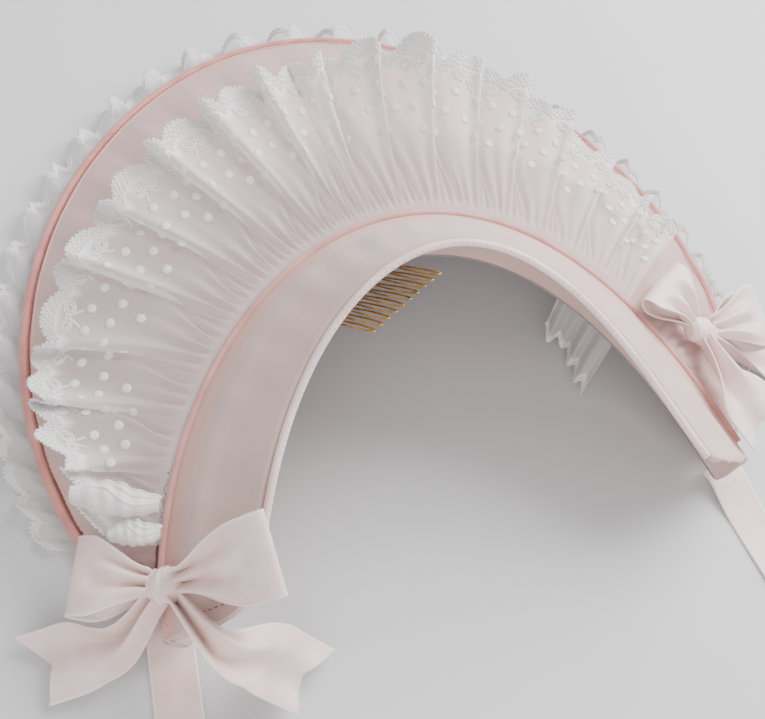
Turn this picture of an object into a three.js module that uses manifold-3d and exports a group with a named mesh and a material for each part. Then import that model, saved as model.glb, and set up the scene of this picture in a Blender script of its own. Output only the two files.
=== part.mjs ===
// A half-bonnet lace headdress lying on the back of its brim: a shaped headband, a padded
// crescent brim with a piped rim, gathered lace on both faces, a wire comb, two bows and two ties.
// Millimetres, +Z up. The arch of the band lies over +Y and its two ends point to -Y.
import * as THREE from 'three';
import Module from 'manifold-3d';
import { mergeVertices } from 'three/addons/utils/BufferGeometryUtils.js';

// The seam line, where the brim meets the headband, is half an ellipse seen from above
const SEAM_HALF_WIDTH = 84;
const SEAM_REACH = 99;
const END_TURN = 78;
const CREST_HEIGHT = 47;
const END_HEIGHT = 13.5;

// Headband
const CLOTH = 2;
const FRONT_WIDTH = 32;
const FRONT_WIDTH_AT_ENDS = 27.5;
const FRONT_RISE = 40;
const REAR_WIDTH = 11;
const REAR_RISE = 55;
const FOLD_RIDGE = 0.8;
const RIDGE_SHARE = 0.34;
const RIDGE_SPREAD = 0.1;
const END_TAB_LEFT = 7;
const END_TAB_RIGHT = 1.5;
const TAB_NARROWING = 0.38;

// Brim, its piping and the shiny edging of the headband
const BRIM_WIDTH = 118;
const BRIM_WIDTH_AT_ENDS = 4;
const BRIM_NARROWING = 1.04;
const BRIM_ROUNDING = 0.16;
const BRIM_SPAN = 0.95;
const RIM_HEIGHT = 9.4;
const RIM_HEIGHT_AT_SIDES = 4.2;
const BRIM_CROWN = 2.5;
const GATHER_DEPTH = 0.8;
const GATHER_COUNT = 24;
const FULL_GATHER_WIDTH = 40;
const PIPING_RADIUS = 1.6;
const EDGING_RADIUS = 1;

// Lace
const NET = 1.1;
const LACE_WIDTH = 49;
const FLUTE_HEIGHT = 9;
const FLUTE_LEAN = 0.35;
const FLUTE_PULL = 0.25;
const FLUTE_GROWTH = 1.15;
const LIFT_AT_SEAM = 0.55;
const HEADING_OFFSET = 3.4;
const BACK_HEADING_OFFSET = 5;
const BACK_LACE_TUCK = 2;
const BACK_LACE_REACH = 12;
const BACK_LACE_REACH_RIGHT = 9.5;
const BACK_LACE_LIFT = 4.5;
const BACK_LACE_SPAN = 0.86;
const PLEAT_DEPTH = 2.2;
const PLEAT_COUNT = 34;
const BACK_LACE_SAG = 0.8;
const LACE_UNDER_SHARE = 0.66;

// Wire comb
const COMB_LOOPS = 10;
const COMB_PITCH = 2.3;
const COMB_TOOTH = 24;
const COMB_OVERHANG = 10;
const COMB_BAR_END = 1;
const COMB_SHOULDER = 0.93;
const COMB_STATION = -0.26;
const COMB_WIRE = 0.36;
const COMB_BAR = 0.7;

// Satin ribbon: bows and ties
const RIBBON = 0.9;
const BOW_RIBBON_WIDTH = 20;
const LOOP_PUFF = 3.2;
const KNOT_LENGTH = 11;
const KNOT_WIDTH = 9;
const KNOT_THICKNESS = 6.5;
const LOOP_MOUTH = 0.06;
const LOOP_ROOT_SHARE = 0.34;
const TAIL_ROOT_SHARE = 0.24;
const TAIL_END_SHARE = 0.96;
const TAIL_NOTCH = 5;
const TIE_WIDTH = 12;
const TIE_LENGTH_NEAR = 43;
const TIE_LENGTH_FAR = 52;

const GAP = 0.35;
const SEAM_ALLOWANCE = 0.55;
const SLACK = 0.35;
const STEEPEST = 0.93;
const PRESSED = 0.05;

// Front lace along the seam: place on the seam, share of the lace width, lift off the brim in degrees
const LACE_LINE = [
  { at: -0.88, width: 0.3, lift: 50 },
  { at: -0.8, width: 0.48, lift: 38 },
  { at: -0.72, width: 0.74, lift: 22 },
  { at: -0.62, width: 0.95, lift: 11 },
  { at: -0.5, width: 1, lift: 20 },
  { at: -0.3, width: 1, lift: 29 },
  { at: 0, width: 1, lift: 31 },
  { at: 0.12, width: 1, lift: 33 },
  { at: 0.22, width: 1, lift: 26 },
  { at: 0.32, width: 1, lift: 18 },
  { at: 0.42, width: 1, lift: 9 },
  { at: 0.53, width: 1, lift: 3 },
  { at: 0.6, width: 0.86, lift: 6 },
];

// Flutes of the front lace: the place of each crest at the seam and at the free edge, its share of
// the flute height, and the side that it leans to
const FLUTES = [
  { seam: -0.88, hem: -0.88, height: 0.3, lean: -1 },
  { seam: -0.735, hem: -0.79, height: 0.75, lean: -1 },
  { seam: -0.64, hem: -0.69, height: 0.75, lean: -1 },
  { seam: -0.535, hem: -0.605, height: 0.55, lean: -1 },
  { seam: -0.44, hem: -0.5, height: 0.8, lean: -1 },
  { seam: -0.35, hem: -0.415, height: 0.7, lean: -1 },
  { seam: -0.26, hem: -0.325, height: 0.8, lean: -1 },
  { seam: -0.18, hem: -0.232, height: 0.9, lean: -1 },
  { seam: -0.12, hem: -0.142, height: 0.75, lean: -0.8 },
  { seam: -0.06, hem: -0.055, height: 0.6, lean: 0.3 },
  { seam: 0.015, hem: 0.038, height: 0.9, lean: 1 },
  { seam: 0.1, hem: 0.123, height: 1.1, lean: 1 },
  { seam: 0.195, hem: 0.205, height: 0.7, lean: 0.8 },
  { seam: 0.27, hem: 0.284, height: 1.15, lean: 1 },
  { seam: 0.36, hem: 0.37, height: 1.15, lean: 1 },
  { seam: 0.44, hem: 0.455, height: 0.8, lean: 1 },
  { seam: 0.52, hem: 0.535, height: 0.9, lean: 1 },
  { seam: 0.6, hem: 0.605, height: 1.1, lean: 0.4 },
];

// Bows: places are shares of the bow's ribbon width, along the seam towards its end, outwards and up
const BOW_NEAR = {
  name: 'bow_left',
  station: -0.96,
  knot: { along: 0.07, out: -0.04, up: 0.42 },
  loops: [
    { name: 'inner', along: 0.2, out: -1.28, up: 1.64, acrossAlong: 0.8, acrossOut: -0.24, acrossUp: -0.44 },
    { name: 'outer', along: -0.24, out: 1.1, up: 0.02, acrossAlong: 0.95, acrossOut: 0.12, acrossUp: -0.08 },
  ],
  tails: [
    {
      name: 'inner',
      across: { along: 0.8, out: 0.58 },
      path: [
        { along: 0.93, out: -0.67, up: 0.68 },
        { along: 0.9, out: -1.16, up: 0.16 },
        { along: 0.96, out: -1.5, up: -0.26 },
        { along: 1.09, out: -1.85, up: -0.5 },
      ],
    },
    {
      name: 'outer',
      across: { along: 0.88, out: -0.47 },
      path: [
        { along: 0.58, out: 0.52, up: -0.14 },
        { along: 0.6, out: 0.95, up: -0.34 },
        { along: 0.67, out: 1.27, up: -0.46 },
        { along: 0.73, out: 1.6, up: -0.55 },
      ],
    },
  ],
};
const BOW_FAR = {
  name: 'bow_right',
  station: 0.74,
  knot: { along: 0.08, out: 0.7, up: 0.02 },
  loops: [
    { name: 'inner', along: -0.78, out: 0.56, up: 0.5, acrossAlong: -0.1, acrossOut: 0.97, acrossUp: -0.1 },
    { name: 'outer', along: 0.56, out: 1.9, up: -0.24, acrossAlong: 0.87, acrossOut: -0.42, acrossUp: -0.27 },
  ],
  tails: [
    {
      name: 'inner',
      across: { along: 0.12, out: 0.99 },
      path: [
        { along: 0.75, out: 0.38, up: 0.08 },
        { along: 1.1, out: 0.3, up: 0 },
        { along: 1.45, out: 0.26, up: -0.14 },
        { along: 1.78, out: 0.3, up: -0.34 },
      ],
    },
    {
      name: 'outer',
      across: { along: 0.72, out: -0.69 },
      path: [
        { along: 0.62, out: 1.35, up: -0.58 },
        { along: 0.97, out: 1.71, up: -0.84 },
        { along: 1.33, out: 1.94, up: -0.94 },
        { along: 1.6, out: 2.12, up: -0.94 },
      ],
    },
  ],
};

// Ties: sideways places are shares of the tie's width, forward ones of its length
const TIE_NEAR = { name: 'tie_left', end: -1, length: TIE_LENGTH_NEAR, sway: [-0.04, -0.04, -0.08, -0.2, -0.36] };
const TIE_FAR = { name: 'tie_right', end: 1, length: TIE_LENGTH_FAR, sway: [-0.09, -0.09, -0.16, -0.3, -0.46] };
const TIE_FORWARD = [-0.07, 0.03, 0.24, 0.6, 1];

const UP = new THREE.Vector3(0, 0, 1);
const rad = THREE.MathUtils.degToRad;

// Sizes along the seam. A place on it runs from -1 at the left end to 1 at the right end.
function smooth(low, high, value) {
  return THREE.MathUtils.smoothstep(value, low, high);
}

function seamHeight(at) {
  const share = Math.cos(Math.min(Math.abs(at), 1) * Math.PI / 2);
  return END_HEIGHT + (CREST_HEIGHT - END_HEIGHT) * Math.max(share, 0) ** 1.5;
}

function station(at) {
  const held = THREE.MathUtils.clamp(at, -1, 1);
  const turn = held * rad(END_TURN);
  const foot = new THREE.Vector3(SEAM_HALF_WIDTH * Math.sin(turn), SEAM_REACH * Math.cos(turn), seamHeight(held));
  const out = new THREE.Vector3(SEAM_REACH * Math.sin(turn), SEAM_HALF_WIDTH * Math.cos(turn), 0).normalize();
  const along = new THREE.Vector3(SEAM_HALF_WIDTH * Math.cos(turn), -SEAM_REACH * Math.sin(turn), 0).normalize();
  along.multiplyScalar(held < 0 ? -1 : 1);
  return { foot, out, along };
}

function place(at, out, up, along = 0) {
  const frame = station(at);
  return frame.foot.addScaledVector(frame.out, out).addScaledVector(frame.along, along).addScaledVector(UP, up);
}

function brimSection(at) {
  const side = (Math.hypot(at, BRIM_ROUNDING) - BRIM_ROUNDING) / (Math.hypot(1, BRIM_ROUNDING) - BRIM_ROUNDING);
  const width = BRIM_WIDTH_AT_ENDS + (BRIM_WIDTH - BRIM_WIDTH_AT_ENDS) * (1 - side ** BRIM_NARROWING);
  const level = RIM_HEIGHT_AT_SIDES + (RIM_HEIGHT - RIM_HEIGHT_AT_SIDES) * (1 - at * at) ** 2;
  const drop = Math.min(seamHeight(at) - level, STEEPEST * width);
  const run = Math.sqrt(width * width - drop * drop);
  return { width, drop, run, slope: -drop / run, crown: BRIM_CROWN * width / BRIM_WIDTH };
}

// Height of the middle of the brim above the seam line, also carried on past the rim
function brimHeight(at, out) {
  const brim = brimSection(at);
  const share = THREE.MathUtils.clamp(out / brim.run, 0, 1);
  return brim.slope * out + brim.crown * Math.sin(Math.PI * share);
}

// Closed bodies
function closedBody(positions, faces) {
  let volume = 0;
  const a = new THREE.Vector3();
  const b = new THREE.Vector3();
  const c = new THREE.Vector3();
  for (let i = 0; i < faces.length; i += 3) {
    a.fromArray(positions, 3 * faces[i]);
    b.fromArray(positions, 3 * faces[i + 1]);
    c.fromArray(positions, 3 * faces[i + 2]);
    volume += a.dot(b.cross(c));
  }
  const geometry = new THREE.BufferGeometry();
  geometry.setAttribute('position', new THREE.Float32BufferAttribute(positions, 3));
  geometry.setIndex(volume < 0 ? faces.slice().reverse() : faces);
  geometry.computeVertexNormals();
  return geometry;
}

// A sheet with a thickness: point(u, v) gives its middle, u and v run from 0 to 1.
// Where it would pass below the surface it lies on, it is pressed flat there.
function sheet(point, columns, rows, thickness) {
  const step = 1e-3;
  const front = [];
  const back = [];
  for (let i = 0; i <= columns; i += 1) {
    for (let j = 0; j <= rows; j += 1) {
      const u = i / columns;
      const v = j / rows;
      const du = point(Math.min(u + step, 1), v).sub(point(Math.max(u - step, 0), v));
      const dv = point(u, Math.min(v + step, 1)).sub(point(u, Math.max(v - step, 0)));
      const normal = du.cross(dv).normalize().multiplyScalar(thickness / 2);
      const middle = point(u, v);
      for (const [side, sign] of [[front, 1], [back, -1]]) {
        const corner = middle.clone().addScaledVector(normal, sign);
        side.push(corner.x, corner.y, Math.max(corner.z, 0));
      }
    }
  }
  const count = (columns + 1) * (rows + 1);
  const faces = [];
  const index = (i, j, side) => side * count + i * (rows + 1) + j;
  const quad = (a, b, c, d) => faces.push(a, b, c, a, c, d);
  for (let i = 0; i < columns; i += 1) {
    for (let j = 0; j < rows; j += 1) {
      quad(index(i, j, 0), index(i + 1, j, 0), index(i + 1, j + 1, 0), index(i, j + 1, 0));
      quad(index(i, j, 1), index(i, j + 1, 1), index(i + 1, j + 1, 1), index(i + 1, j, 1));
    }
    quad(index(i, 0, 0), index(i, 0, 1), index(i + 1, 0, 1), index(i + 1, 0, 0));
    quad(index(i, rows, 0), index(i + 1, rows, 0), index(i + 1, rows, 1), index(i, rows, 1));
  }
  for (let j = 0; j < rows; j += 1) {
    quad(index(0, j, 0), index(0, j + 1, 0), index(0, j + 1, 1), index(0, j, 1));
    quad(index(columns, j, 0), index(columns, j, 1), index(columns, j + 1, 1), index(columns, j + 1, 0));
  }
  return closedBody(front.concat(back), faces);
}

function tube(points, radius, sides, steps) {
  const section = new THREE.Shape();
  for (let k = 0; k < sides; k += 1) {
    const turn = 2 * Math.PI * k / sides;
    const corner = [radius * Math.cos(turn), radius * Math.sin(turn)];
    if (k === 0) section.moveTo(...corner);
    else section.lineTo(...corner);
  }
  section.closePath();
  const path = new THREE.CatmullRomCurve3(points);
  return new THREE.ExtrudeGeometry(section, { steps, extrudePath: path, bevelEnabled: false });
}

function curveThrough(rows, key) {
  return (value) => {
    let k = 0;
    while (k < rows.length - 2 && value > rows[k + 1].at) k += 1;
    const share = smooth(rows[k].at, rows[k + 1].at, value);
    return rows[k][key] + (rows[k + 1][key] - rows[k][key]) * share;
  };
}

// Headband: a strip that is widest at the seam and closes in to both its edges, as a head does
function frontWidth(at) {
  return FRONT_WIDTH + (FRONT_WIDTH_AT_ENDS - FRONT_WIDTH) * Math.min(Math.abs(at), 1) ** 6;
}

function bandPoint(at, share, narrowing = 1, along = 0) {
  const front = frontWidth(at) * narrowing;
  const rear = REAR_WIDTH * narrowing;
  const ridge = FOLD_RIDGE * Math.exp(-(((share - RIDGE_SHARE) / RIDGE_SPREAD) ** 2));
  const rise = rad(FRONT_RISE);
  const fall = rad(REAR_RISE);
  let out = -front * Math.max(share, 0) * Math.cos(rise) + ridge * Math.sin(rise);
  let up = front * Math.max(share, 0) * Math.sin(rise) + ridge * Math.cos(rise);
  out += rear * Math.min(share, 0) * Math.cos(fall);
  up += rear * Math.min(share, 0) * Math.sin(fall);
  return place(at, out, up, along);
}

const BAND_ROWS = [-1, -0.4, 0, 0.16, RIDGE_SHARE, 0.55, 1];

function headband() {
  const columns = 40;
  const tabShare = 2 / columns;
  const rows = BAND_ROWS.length - 1;
  return sheet((u, v) => {
    const row = Math.min(Math.floor(v * rows), rows - 1);
    const share = THREE.MathUtils.lerp(BAND_ROWS[row], BAND_ROWS[row + 1], v * rows - row);
    const side = Math.abs(2 * u - 1);
    const beyond = Math.max(side - (1 - 2 * tabShare), 0) / (2 * tabShare);
    const at = Math.sign(2 * u - 1) * Math.min(side / (1 - 2 * tabShare), 1);
    const tab = at < 0 ? END_TAB_LEFT : END_TAB_RIGHT;
    return bandPoint(at, share, 1 - TAB_NARROWING * beyond ** 2, tab * Math.sin(beyond * Math.PI / 2));
  }, columns, rows, CLOTH);
}

function bandEdging() {
  const points = [];
  for (let k = 0; k <= 40; k += 1) {
    const at = -1 + k / 20;
    const reach = 1 + (EDGING_RADIUS + GAP) / frontWidth(at);
    points.push(bandPoint(at, reach));
  }
  return tube(points, EDGING_RADIUS, 5, 36);
}

// Brim
function brimPoint(at, share) {
  const brim = brimSection(at);
  const start = CLOTH / 2 + GAP + SEAM_ALLOWANCE;
  const out = start + (brim.run - start) * share;
  const wave = Math.sin(2 * Math.PI * GATHER_COUNT * (at + 1) / 2) * Math.sin(Math.PI * share) ** 0.7;
  return place(at, out, brimHeight(at, out) + GATHER_DEPTH * wave * Math.min(1, brim.width / FULL_GATHER_WIDTH));
}

function brim() {
  return sheet((u, v) => brimPoint(BRIM_SPAN * (2 * u - 1), v), GATHER_COUNT * 4, 4, CLOTH);
}

function rimPiping() {
  const points = [];
  for (let k = 0; k <= 56; k += 1) {
    const at = BRIM_SPAN * (k / 28 - 1);
    const brim = brimSection(at);
    const beyond = PIPING_RADIUS + 2 * GAP;
    points.push(place(at, brim.run + beyond * brim.run / brim.width, -brim.drop * (1 + beyond / brim.width)));
  }
  return tube(points, PIPING_RADIUS, 6, 48);
}

// Lace on the front of the brim: gathered at the seam, opening into flutes towards its free edge
const laceShare = curveThrough(LACE_LINE, 'width');
const laceLift = curveThrough(LACE_LINE, 'lift');

// The flutes' values between two crests, where turn counts the crests from 0
function fluteAt(turn, key) {
  const k = Math.min(Math.floor(turn), FLUTES.length - 2);
  return THREE.MathUtils.lerp(FLUTES[k][key], FLUTES[k + 1][key], turn - k);
}

function frontLacePoint(turn, share) {
  const crest = (1 + Math.cos(2 * Math.PI * turn)) / 2;
  const k = Math.min(Math.floor(turn), FLUTES.length - 2);
  const half = (FLUTES[k + 1].hem - FLUTES[k].hem) / 2;
  const lean = FLUTE_LEAN * fluteAt(turn, 'lean') * half * (crest - 1) * smooth(0, 0.4, share);
  const at = THREE.MathUtils.lerp(fluteAt(turn, 'seam'), fluteAt(turn, 'hem'), share) + lean;
  const reach = LACE_WIDTH * laceShare(at) * share;
  const brim = brimSection(at);
  const tilt = Math.atan(brim.slope) + rad(laceLift(at)) * (LIFT_AT_SEAM + (1 - LIFT_AT_SEAM) * share);
  const start = HEADING_OFFSET;
  const out = start + reach * Math.cos(tilt);
  const clear = CLOTH / 2 + GATHER_DEPTH + GAP + NET / 2 + SLACK;
  const flute = FLUTE_HEIGHT * fluteAt(turn, 'height') * laceShare(at) * share ** FLUTE_GROWTH * crest;
  const surface = brimHeight(at, Math.min(out, brim.run)) + clear;
  const lifted = brimHeight(at, start) + clear + reach * Math.sin(tilt);
  return place(at, out - FLUTE_PULL * flute, Math.max(lifted, surface) + flute);
}

function frontRuffle() {
  const turns = FLUTES.length - 1;
  return sheet((u, v) => frontLacePoint(turns * u, v), turns * 8, 3, NET);
}

// Lace on the back of the brim: it sags to the surface near the sides and shows past the piping
function backLacePoint(at, share) {
  const brim = brimSection(at);
  const start = BACK_HEADING_OFFSET;
  const pleat = Math.sin(2 * Math.PI * PLEAT_COUNT * (at + 1) / 2);
  const rest = NET / 2 - PRESSED - seamHeight(at);
  const below = CLOTH / 2 + GATHER_DEPTH + NET / 2 + GAP + SLACK;
  const under = brim.run - BACK_LACE_TUCK;
  const inner = Math.min(share / LACE_UNDER_SHARE, 1);
  const outer = Math.max(share - LACE_UNDER_SHARE, 0) / (1 - LACE_UNDER_SHARE);
  const reach = THREE.MathUtils.lerp(BACK_LACE_REACH, BACK_LACE_REACH_RIGHT, smooth(0.1, 0.5, at));
  const out = start + (under - start) * inner + (reach + 2 * BACK_LACE_TUCK) * outer;
  const hang = brimHeight(at, Math.min(out, under)) - below;
  const sag = BACK_LACE_SAG * smooth(0.4, 0.52, Math.abs(at)) * smooth(0, 0.33, share);
  const settle = Math.max(sag, smooth(0.45, LACE_UNDER_SHARE, share));
  const edge = smooth(LACE_UNDER_SHARE, 1, share);
  const raised = BACK_LACE_LIFT * (1 - smooth(0.45, 0.8, Math.abs(at + 0.1)));
  const lift = (raised + PLEAT_DEPTH) * (pleat + 1) / 2 * edge;
  return place(at, out, THREE.MathUtils.lerp(hang, rest, settle) + lift);
}

function backRuffle() {
  return sheet((u, v) => backLacePoint(BACK_LACE_SPAN * (2 * u - 1), v), PLEAT_COUNT * 4, 3, NET);
}

// Wire comb: the wire runs out and back in long loops along a bar sewn inside the band
const wasm = await Module();
wasm.setup();

function solid(geometry) {
  const bare = geometry.clone();
  bare.deleteAttribute('normal');
  bare.deleteAttribute('uv');
  const merged = mergeVertices(bare, 1e-4);
  return new wasm.Manifold(new wasm.Mesh({
    numProp: 3,
    vertProperties: new Float32Array(merged.attributes.position.array),
    triVerts: new Uint32Array(merged.index.array),
  }));
}

function bodyOf(manifold) {
  const mesh = manifold.getMesh();
  return closedBody(Array.from(mesh.vertProperties), Array.from(mesh.triVerts));
}

function comb() {
  const half = COMB_LOOPS * COMB_PITCH / 2;
  const share = half / (SEAM_HALF_WIDTH * rad(END_TURN));
  const edge = frontWidth(COMB_STATION);
  const seat = (edge + 2 * EDGING_RADIUS + COMB_OVERHANG - COMB_TOOTH) / edge;
  const left = bandPoint(COMB_STATION - share, seat);
  const right = bandPoint(COMB_STATION + share, seat);
  const bar = right.clone().sub(left).normalize();
  const teeth = bandPoint(COMB_STATION, 1).sub(bandPoint(COMB_STATION, 0)).normalize();
  const below = bar.clone().cross(teeth).normalize();
  if (below.z > 0) below.negate();
  const clear = CLOTH / 2 + FOLD_RIDGE + COMB_BAR + GAP;
  const start = left.add(right).multiplyScalar(0.5).addScaledVector(below, clear);
  const spot = (along, reach) => start.clone().addScaledVector(bar, along).addScaledVector(teeth, reach);
  const points = [];
  for (let k = 0; k < COMB_LOOPS; k += 1) {
    const from = k * COMB_PITCH - half;
    const loop = COMB_PITCH / 2;
    points.push(spot(from, 0));
    points.push(spot(from + 0.1 * loop, COMB_TOOTH * COMB_SHOULDER));
    points.push(spot(from + 0.5 * loop, COMB_TOOTH));
    points.push(spot(from + 0.9 * loop, COMB_TOOTH * COMB_SHOULDER));
    points.push(spot(from + loop, 0));
    points.push(spot(from + 1.5 * loop, -COMB_BAR));
  }
  const wire = solid(tube(points, COMB_WIRE, 4, COMB_LOOPS * 9));
  const rod = solid(tube([spot(-half - COMB_BAR_END, 0), spot(0, 0), spot(half + COMB_BAR_END, 0)], COMB_BAR, 6, 2));
  return bodyOf(wire.add(rod));
}

// Bows
function bowSpot(bow, row) {
  return place(bow.station, row.out * BOW_RIBBON_WIDTH, row.up * BOW_RIBBON_WIDTH, row.along * BOW_RIBBON_WIDTH);
}

function bowDirection(bow, along, out, up) {
  const frame = station(bow.station);
  return frame.along.multiplyScalar(along).addScaledVector(frame.out, out).addScaledVector(UP, up).normalize();
}

function knotOf(bow) {
  const centre = bowSpot(bow, bow.knot);
  const [first, second] = bow.loops.map((row) => bowSpot(bow, row));
  const axis = second.sub(first).normalize();
  const face = UP.clone().addScaledVector(axis, -axis.z).normalize();
  const across = axis.clone().cross(face);
  return { centre, axis, face, across };
}

// The place just outside the knot, on its way to a given spot
function besideKnot(bow, spot) {
  const knot = knotOf(bow);
  const heading = spot.clone().sub(knot.centre).normalize();
  const half = [KNOT_LENGTH / 2, KNOT_THICKNESS / 2, KNOT_WIDTH / 2];
  const parts = [knot.axis, knot.face, knot.across].map((side, k) => heading.dot(side) / half[k]);
  return knot.centre.addScaledVector(heading, 1 / Math.hypot(...parts) + GAP);
}

function bowLoop(bow, row) {
  const tip = bowSpot(bow, row);
  const root = besideKnot(bow, tip);
  const across = bowDirection(bow, row.acrossAlong, row.acrossOut, row.acrossUp);
  const axis = tip.clone().sub(root);
  const length = axis.length();
  axis.normalize();
  const face = axis.clone().cross(across).normalize();
  if (face.z < 0) face.negate();
  const open = 2 * Math.PI * LOOP_MOUTH;
  return sheet((u, v) => {
    const turn = open + 2 * (Math.PI - open) * u;
    const reach = (Math.cos(open) - Math.cos(turn)) / (Math.cos(open) + 1);
    const half = BOW_RIBBON_WIDTH / 2 * (LOOP_ROOT_SHARE + (1 - LOOP_ROOT_SHARE) * smooth(0, 0.8, reach));
    const puff = LOOP_PUFF * Math.sin(turn) * (0.45 + 0.55 * smooth(0, 0.5, reach));
    const crease = 1 - 0.35 * Math.cos(Math.PI * (2 * v - 1) / 2) * (1 - reach);
    return root.clone().addScaledVector(axis, length * reach)
      .addScaledVector(across, half * (2 * v - 1))
      .addScaledVector(face, puff * crease);
  }, 12, 3, RIBBON);
}

function bowKnot(bow) {
  const knot = knotOf(bow);
  const geometry = new THREE.SphereGeometry(0.5, 10, 6);
  geometry.scale(KNOT_LENGTH, KNOT_THICKNESS, KNOT_WIDTH);
  geometry.applyMatrix4(new THREE.Matrix4().makeBasis(knot.axis, knot.face, knot.across).setPosition(knot.centre));
  return geometry;
}

function bowTail(bow, row) {
  const spots = row.path.map((spot) => bowSpot(bow, spot));
  const path = new THREE.CatmullRomCurve3([besideKnot(bow, spots[0]), ...spots]);
  const across = bowDirection(bow, row.across.along, row.across.out, 0);
  return sheet((u, v) => {
    const notch = TAIL_NOTCH * (1 - Math.abs(2 * v - 1)) * smooth(0.7, 1, u);
    const spot = path.getPoint(u);
    const heading = path.getTangent(u);
    const half = BOW_RIBBON_WIDTH / 2 * (TAIL_ROOT_SHARE + (TAIL_END_SHARE - TAIL_ROOT_SHARE) * smooth(0, 0.62, u));
    return spot.addScaledVector(heading, -notch).addScaledVector(across, half * (2 * v - 1));
  }, 8, 4, RIBBON);
}

function tie(row) {
  const under = REAR_WIDTH * Math.sin(rad(REAR_RISE));
  const rootHeight = END_HEIGHT - under - CLOTH / 2 - GAP - RIBBON / 2;
  const path = new THREE.CatmullRomCurve3(row.sway.map((sway, k) => {
    const height = [rootHeight, rootHeight, RIBBON / 2 - PRESSED][Math.min(k, 2)];
    return place(row.end, sway * TIE_WIDTH, height - END_HEIGHT, TIE_FORWARD[k] * row.length);
  }));
  return sheet((u, v) => {
    const spot = path.getPoint(u);
    const across = path.getTangent(u).cross(UP).normalize();
    const level = u > 0.5 ? RIBBON / 2 - PRESSED : spot.z;
    spot.z = Math.max(level, RIBBON / 2 - PRESSED);
    return spot.addScaledVector(across, TIE_WIDTH / 2 * (2 * v - 1));
  }, 12, 1, RIBBON);
}

// Materials, in the colours of the real cloth, thread and wire
const cotton = new THREE.MeshStandardMaterial({ color: 0xd9c6c2, roughness: 0.85, metalness: 0 });
const blush = new THREE.MeshStandardMaterial({ color: 0xdcc5c2, roughness: 0.85, metalness: 0 });
const coral = new THREE.MeshStandardMaterial({ color: 0xdb9a90, roughness: 0.7, metalness: 0 });
const satin = new THREE.MeshStandardMaterial({ color: 0xead9d5, roughness: 0.4, metalness: 0 });
const lace = new THREE.MeshStandardMaterial({ color: 0xf0eeec, roughness: 0.8, metalness: 0 });
const tulle = new THREE.MeshStandardMaterial({ color: 0xf3efec, roughness: 0.8, metalness: 0 });
const gold = new THREE.MeshStandardMaterial({ color: 0xb98d45, roughness: 0.35, metalness: 1 });

const headdress = new THREE.Group();
const model = new THREE.Group();
headdress.add(model);

function add(name, geometry, material) {
  const mesh = new THREE.Mesh(geometry, material);
  mesh.name = name;
  model.add(mesh);
}

add('headband', headband(), cotton);
add('band_edging', bandEdging(), satin);
add('brim', brim(), blush);
add('rim_piping', rimPiping(), coral);
add('front_ruffle', frontRuffle(), lace);
add('back_ruffle', backRuffle(), tulle);
add('comb', comb(), gold);
for (const bow of [BOW_NEAR, BOW_FAR]) {
  add(`${bow.name}_knot`, bowKnot(bow), satin);
  for (const row of bow.loops) add(`${bow.name}_loop_${row.name}`, bowLoop(bow, row), satin);
  for (const row of bow.tails) add(`${bow.name}_tail_${row.name}`, bowTail(bow, row), satin);
}
for (const row of [TIE_NEAR, TIE_FAR]) add(row.name, tie(row), satin);

// The origin is the middle of the footprint, on the surface the headdress lies on
const extent = new THREE.Box3().setFromObject(model);
const middle = extent.getCenter(new THREE.Vector3());
model.position.set(-middle.x, -middle.y, -extent.min.z);

export default headdress;
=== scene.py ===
"""The looks of a half-bonnet lace headdress: cloth band and brim, piping, gathered lace, comb, bows and ties."""

import math

import bpy
import numpy as np
from mathutils import Matrix, Vector


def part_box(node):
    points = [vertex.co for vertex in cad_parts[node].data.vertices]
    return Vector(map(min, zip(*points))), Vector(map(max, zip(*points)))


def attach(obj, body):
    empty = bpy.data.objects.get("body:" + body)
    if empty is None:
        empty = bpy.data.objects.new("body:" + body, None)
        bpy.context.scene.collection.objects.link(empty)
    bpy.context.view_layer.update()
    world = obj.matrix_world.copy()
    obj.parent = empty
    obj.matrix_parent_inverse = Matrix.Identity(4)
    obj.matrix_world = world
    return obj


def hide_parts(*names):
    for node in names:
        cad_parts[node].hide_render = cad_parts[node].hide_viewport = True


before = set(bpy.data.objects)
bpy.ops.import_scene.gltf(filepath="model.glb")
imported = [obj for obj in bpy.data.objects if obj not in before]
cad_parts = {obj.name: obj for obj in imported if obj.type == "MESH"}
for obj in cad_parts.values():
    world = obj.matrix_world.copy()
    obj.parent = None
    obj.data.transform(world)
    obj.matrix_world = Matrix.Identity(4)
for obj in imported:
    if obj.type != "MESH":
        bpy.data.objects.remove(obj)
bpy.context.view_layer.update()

bl_info = {
    "name": "Lace headdress",
    "version": (1, 0, 0),
    "blender": (4, 5, 0),
    "location": "3D View > Sidebar > Headdress",
    "description": "Builds the cloth, lace, ribbon and wire of a half-bonnet headdress",
    "category": "Object",
}

MM = 0.001
ROOT = "root"

# The seam line between band and brim, in millimetres. These sizes are the solids' own, unless a comment
# says that a thing is drawn finer than its solid.
SEAM_HALF_WIDTH = 84.0
SEAM_REACH = 99.0
END_TURN = 78.0
CREST_HEIGHT = 47.0
END_HEIGHT = 13.5

# Headband
CLOTH = 2.0
FRONT_WIDTH = 32.0
FRONT_WIDTH_AT_ENDS = 27.5
FRONT_RISE = 40.0
REAR_WIDTH = 11.0
REAR_RISE = 55.0
FOLD_RIDGE = 0.8
RIDGE_SHARE = 0.34
RIDGE_SPREAD = 0.1
TAB_SHARE = 0.05
BAND_EASE = 0.22
END_STITCH_INSET = 3.5
END_TAB_LEFT = 7.0
END_TAB_RIGHT = 1.5
TAB_NARROWING = 0.38

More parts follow.
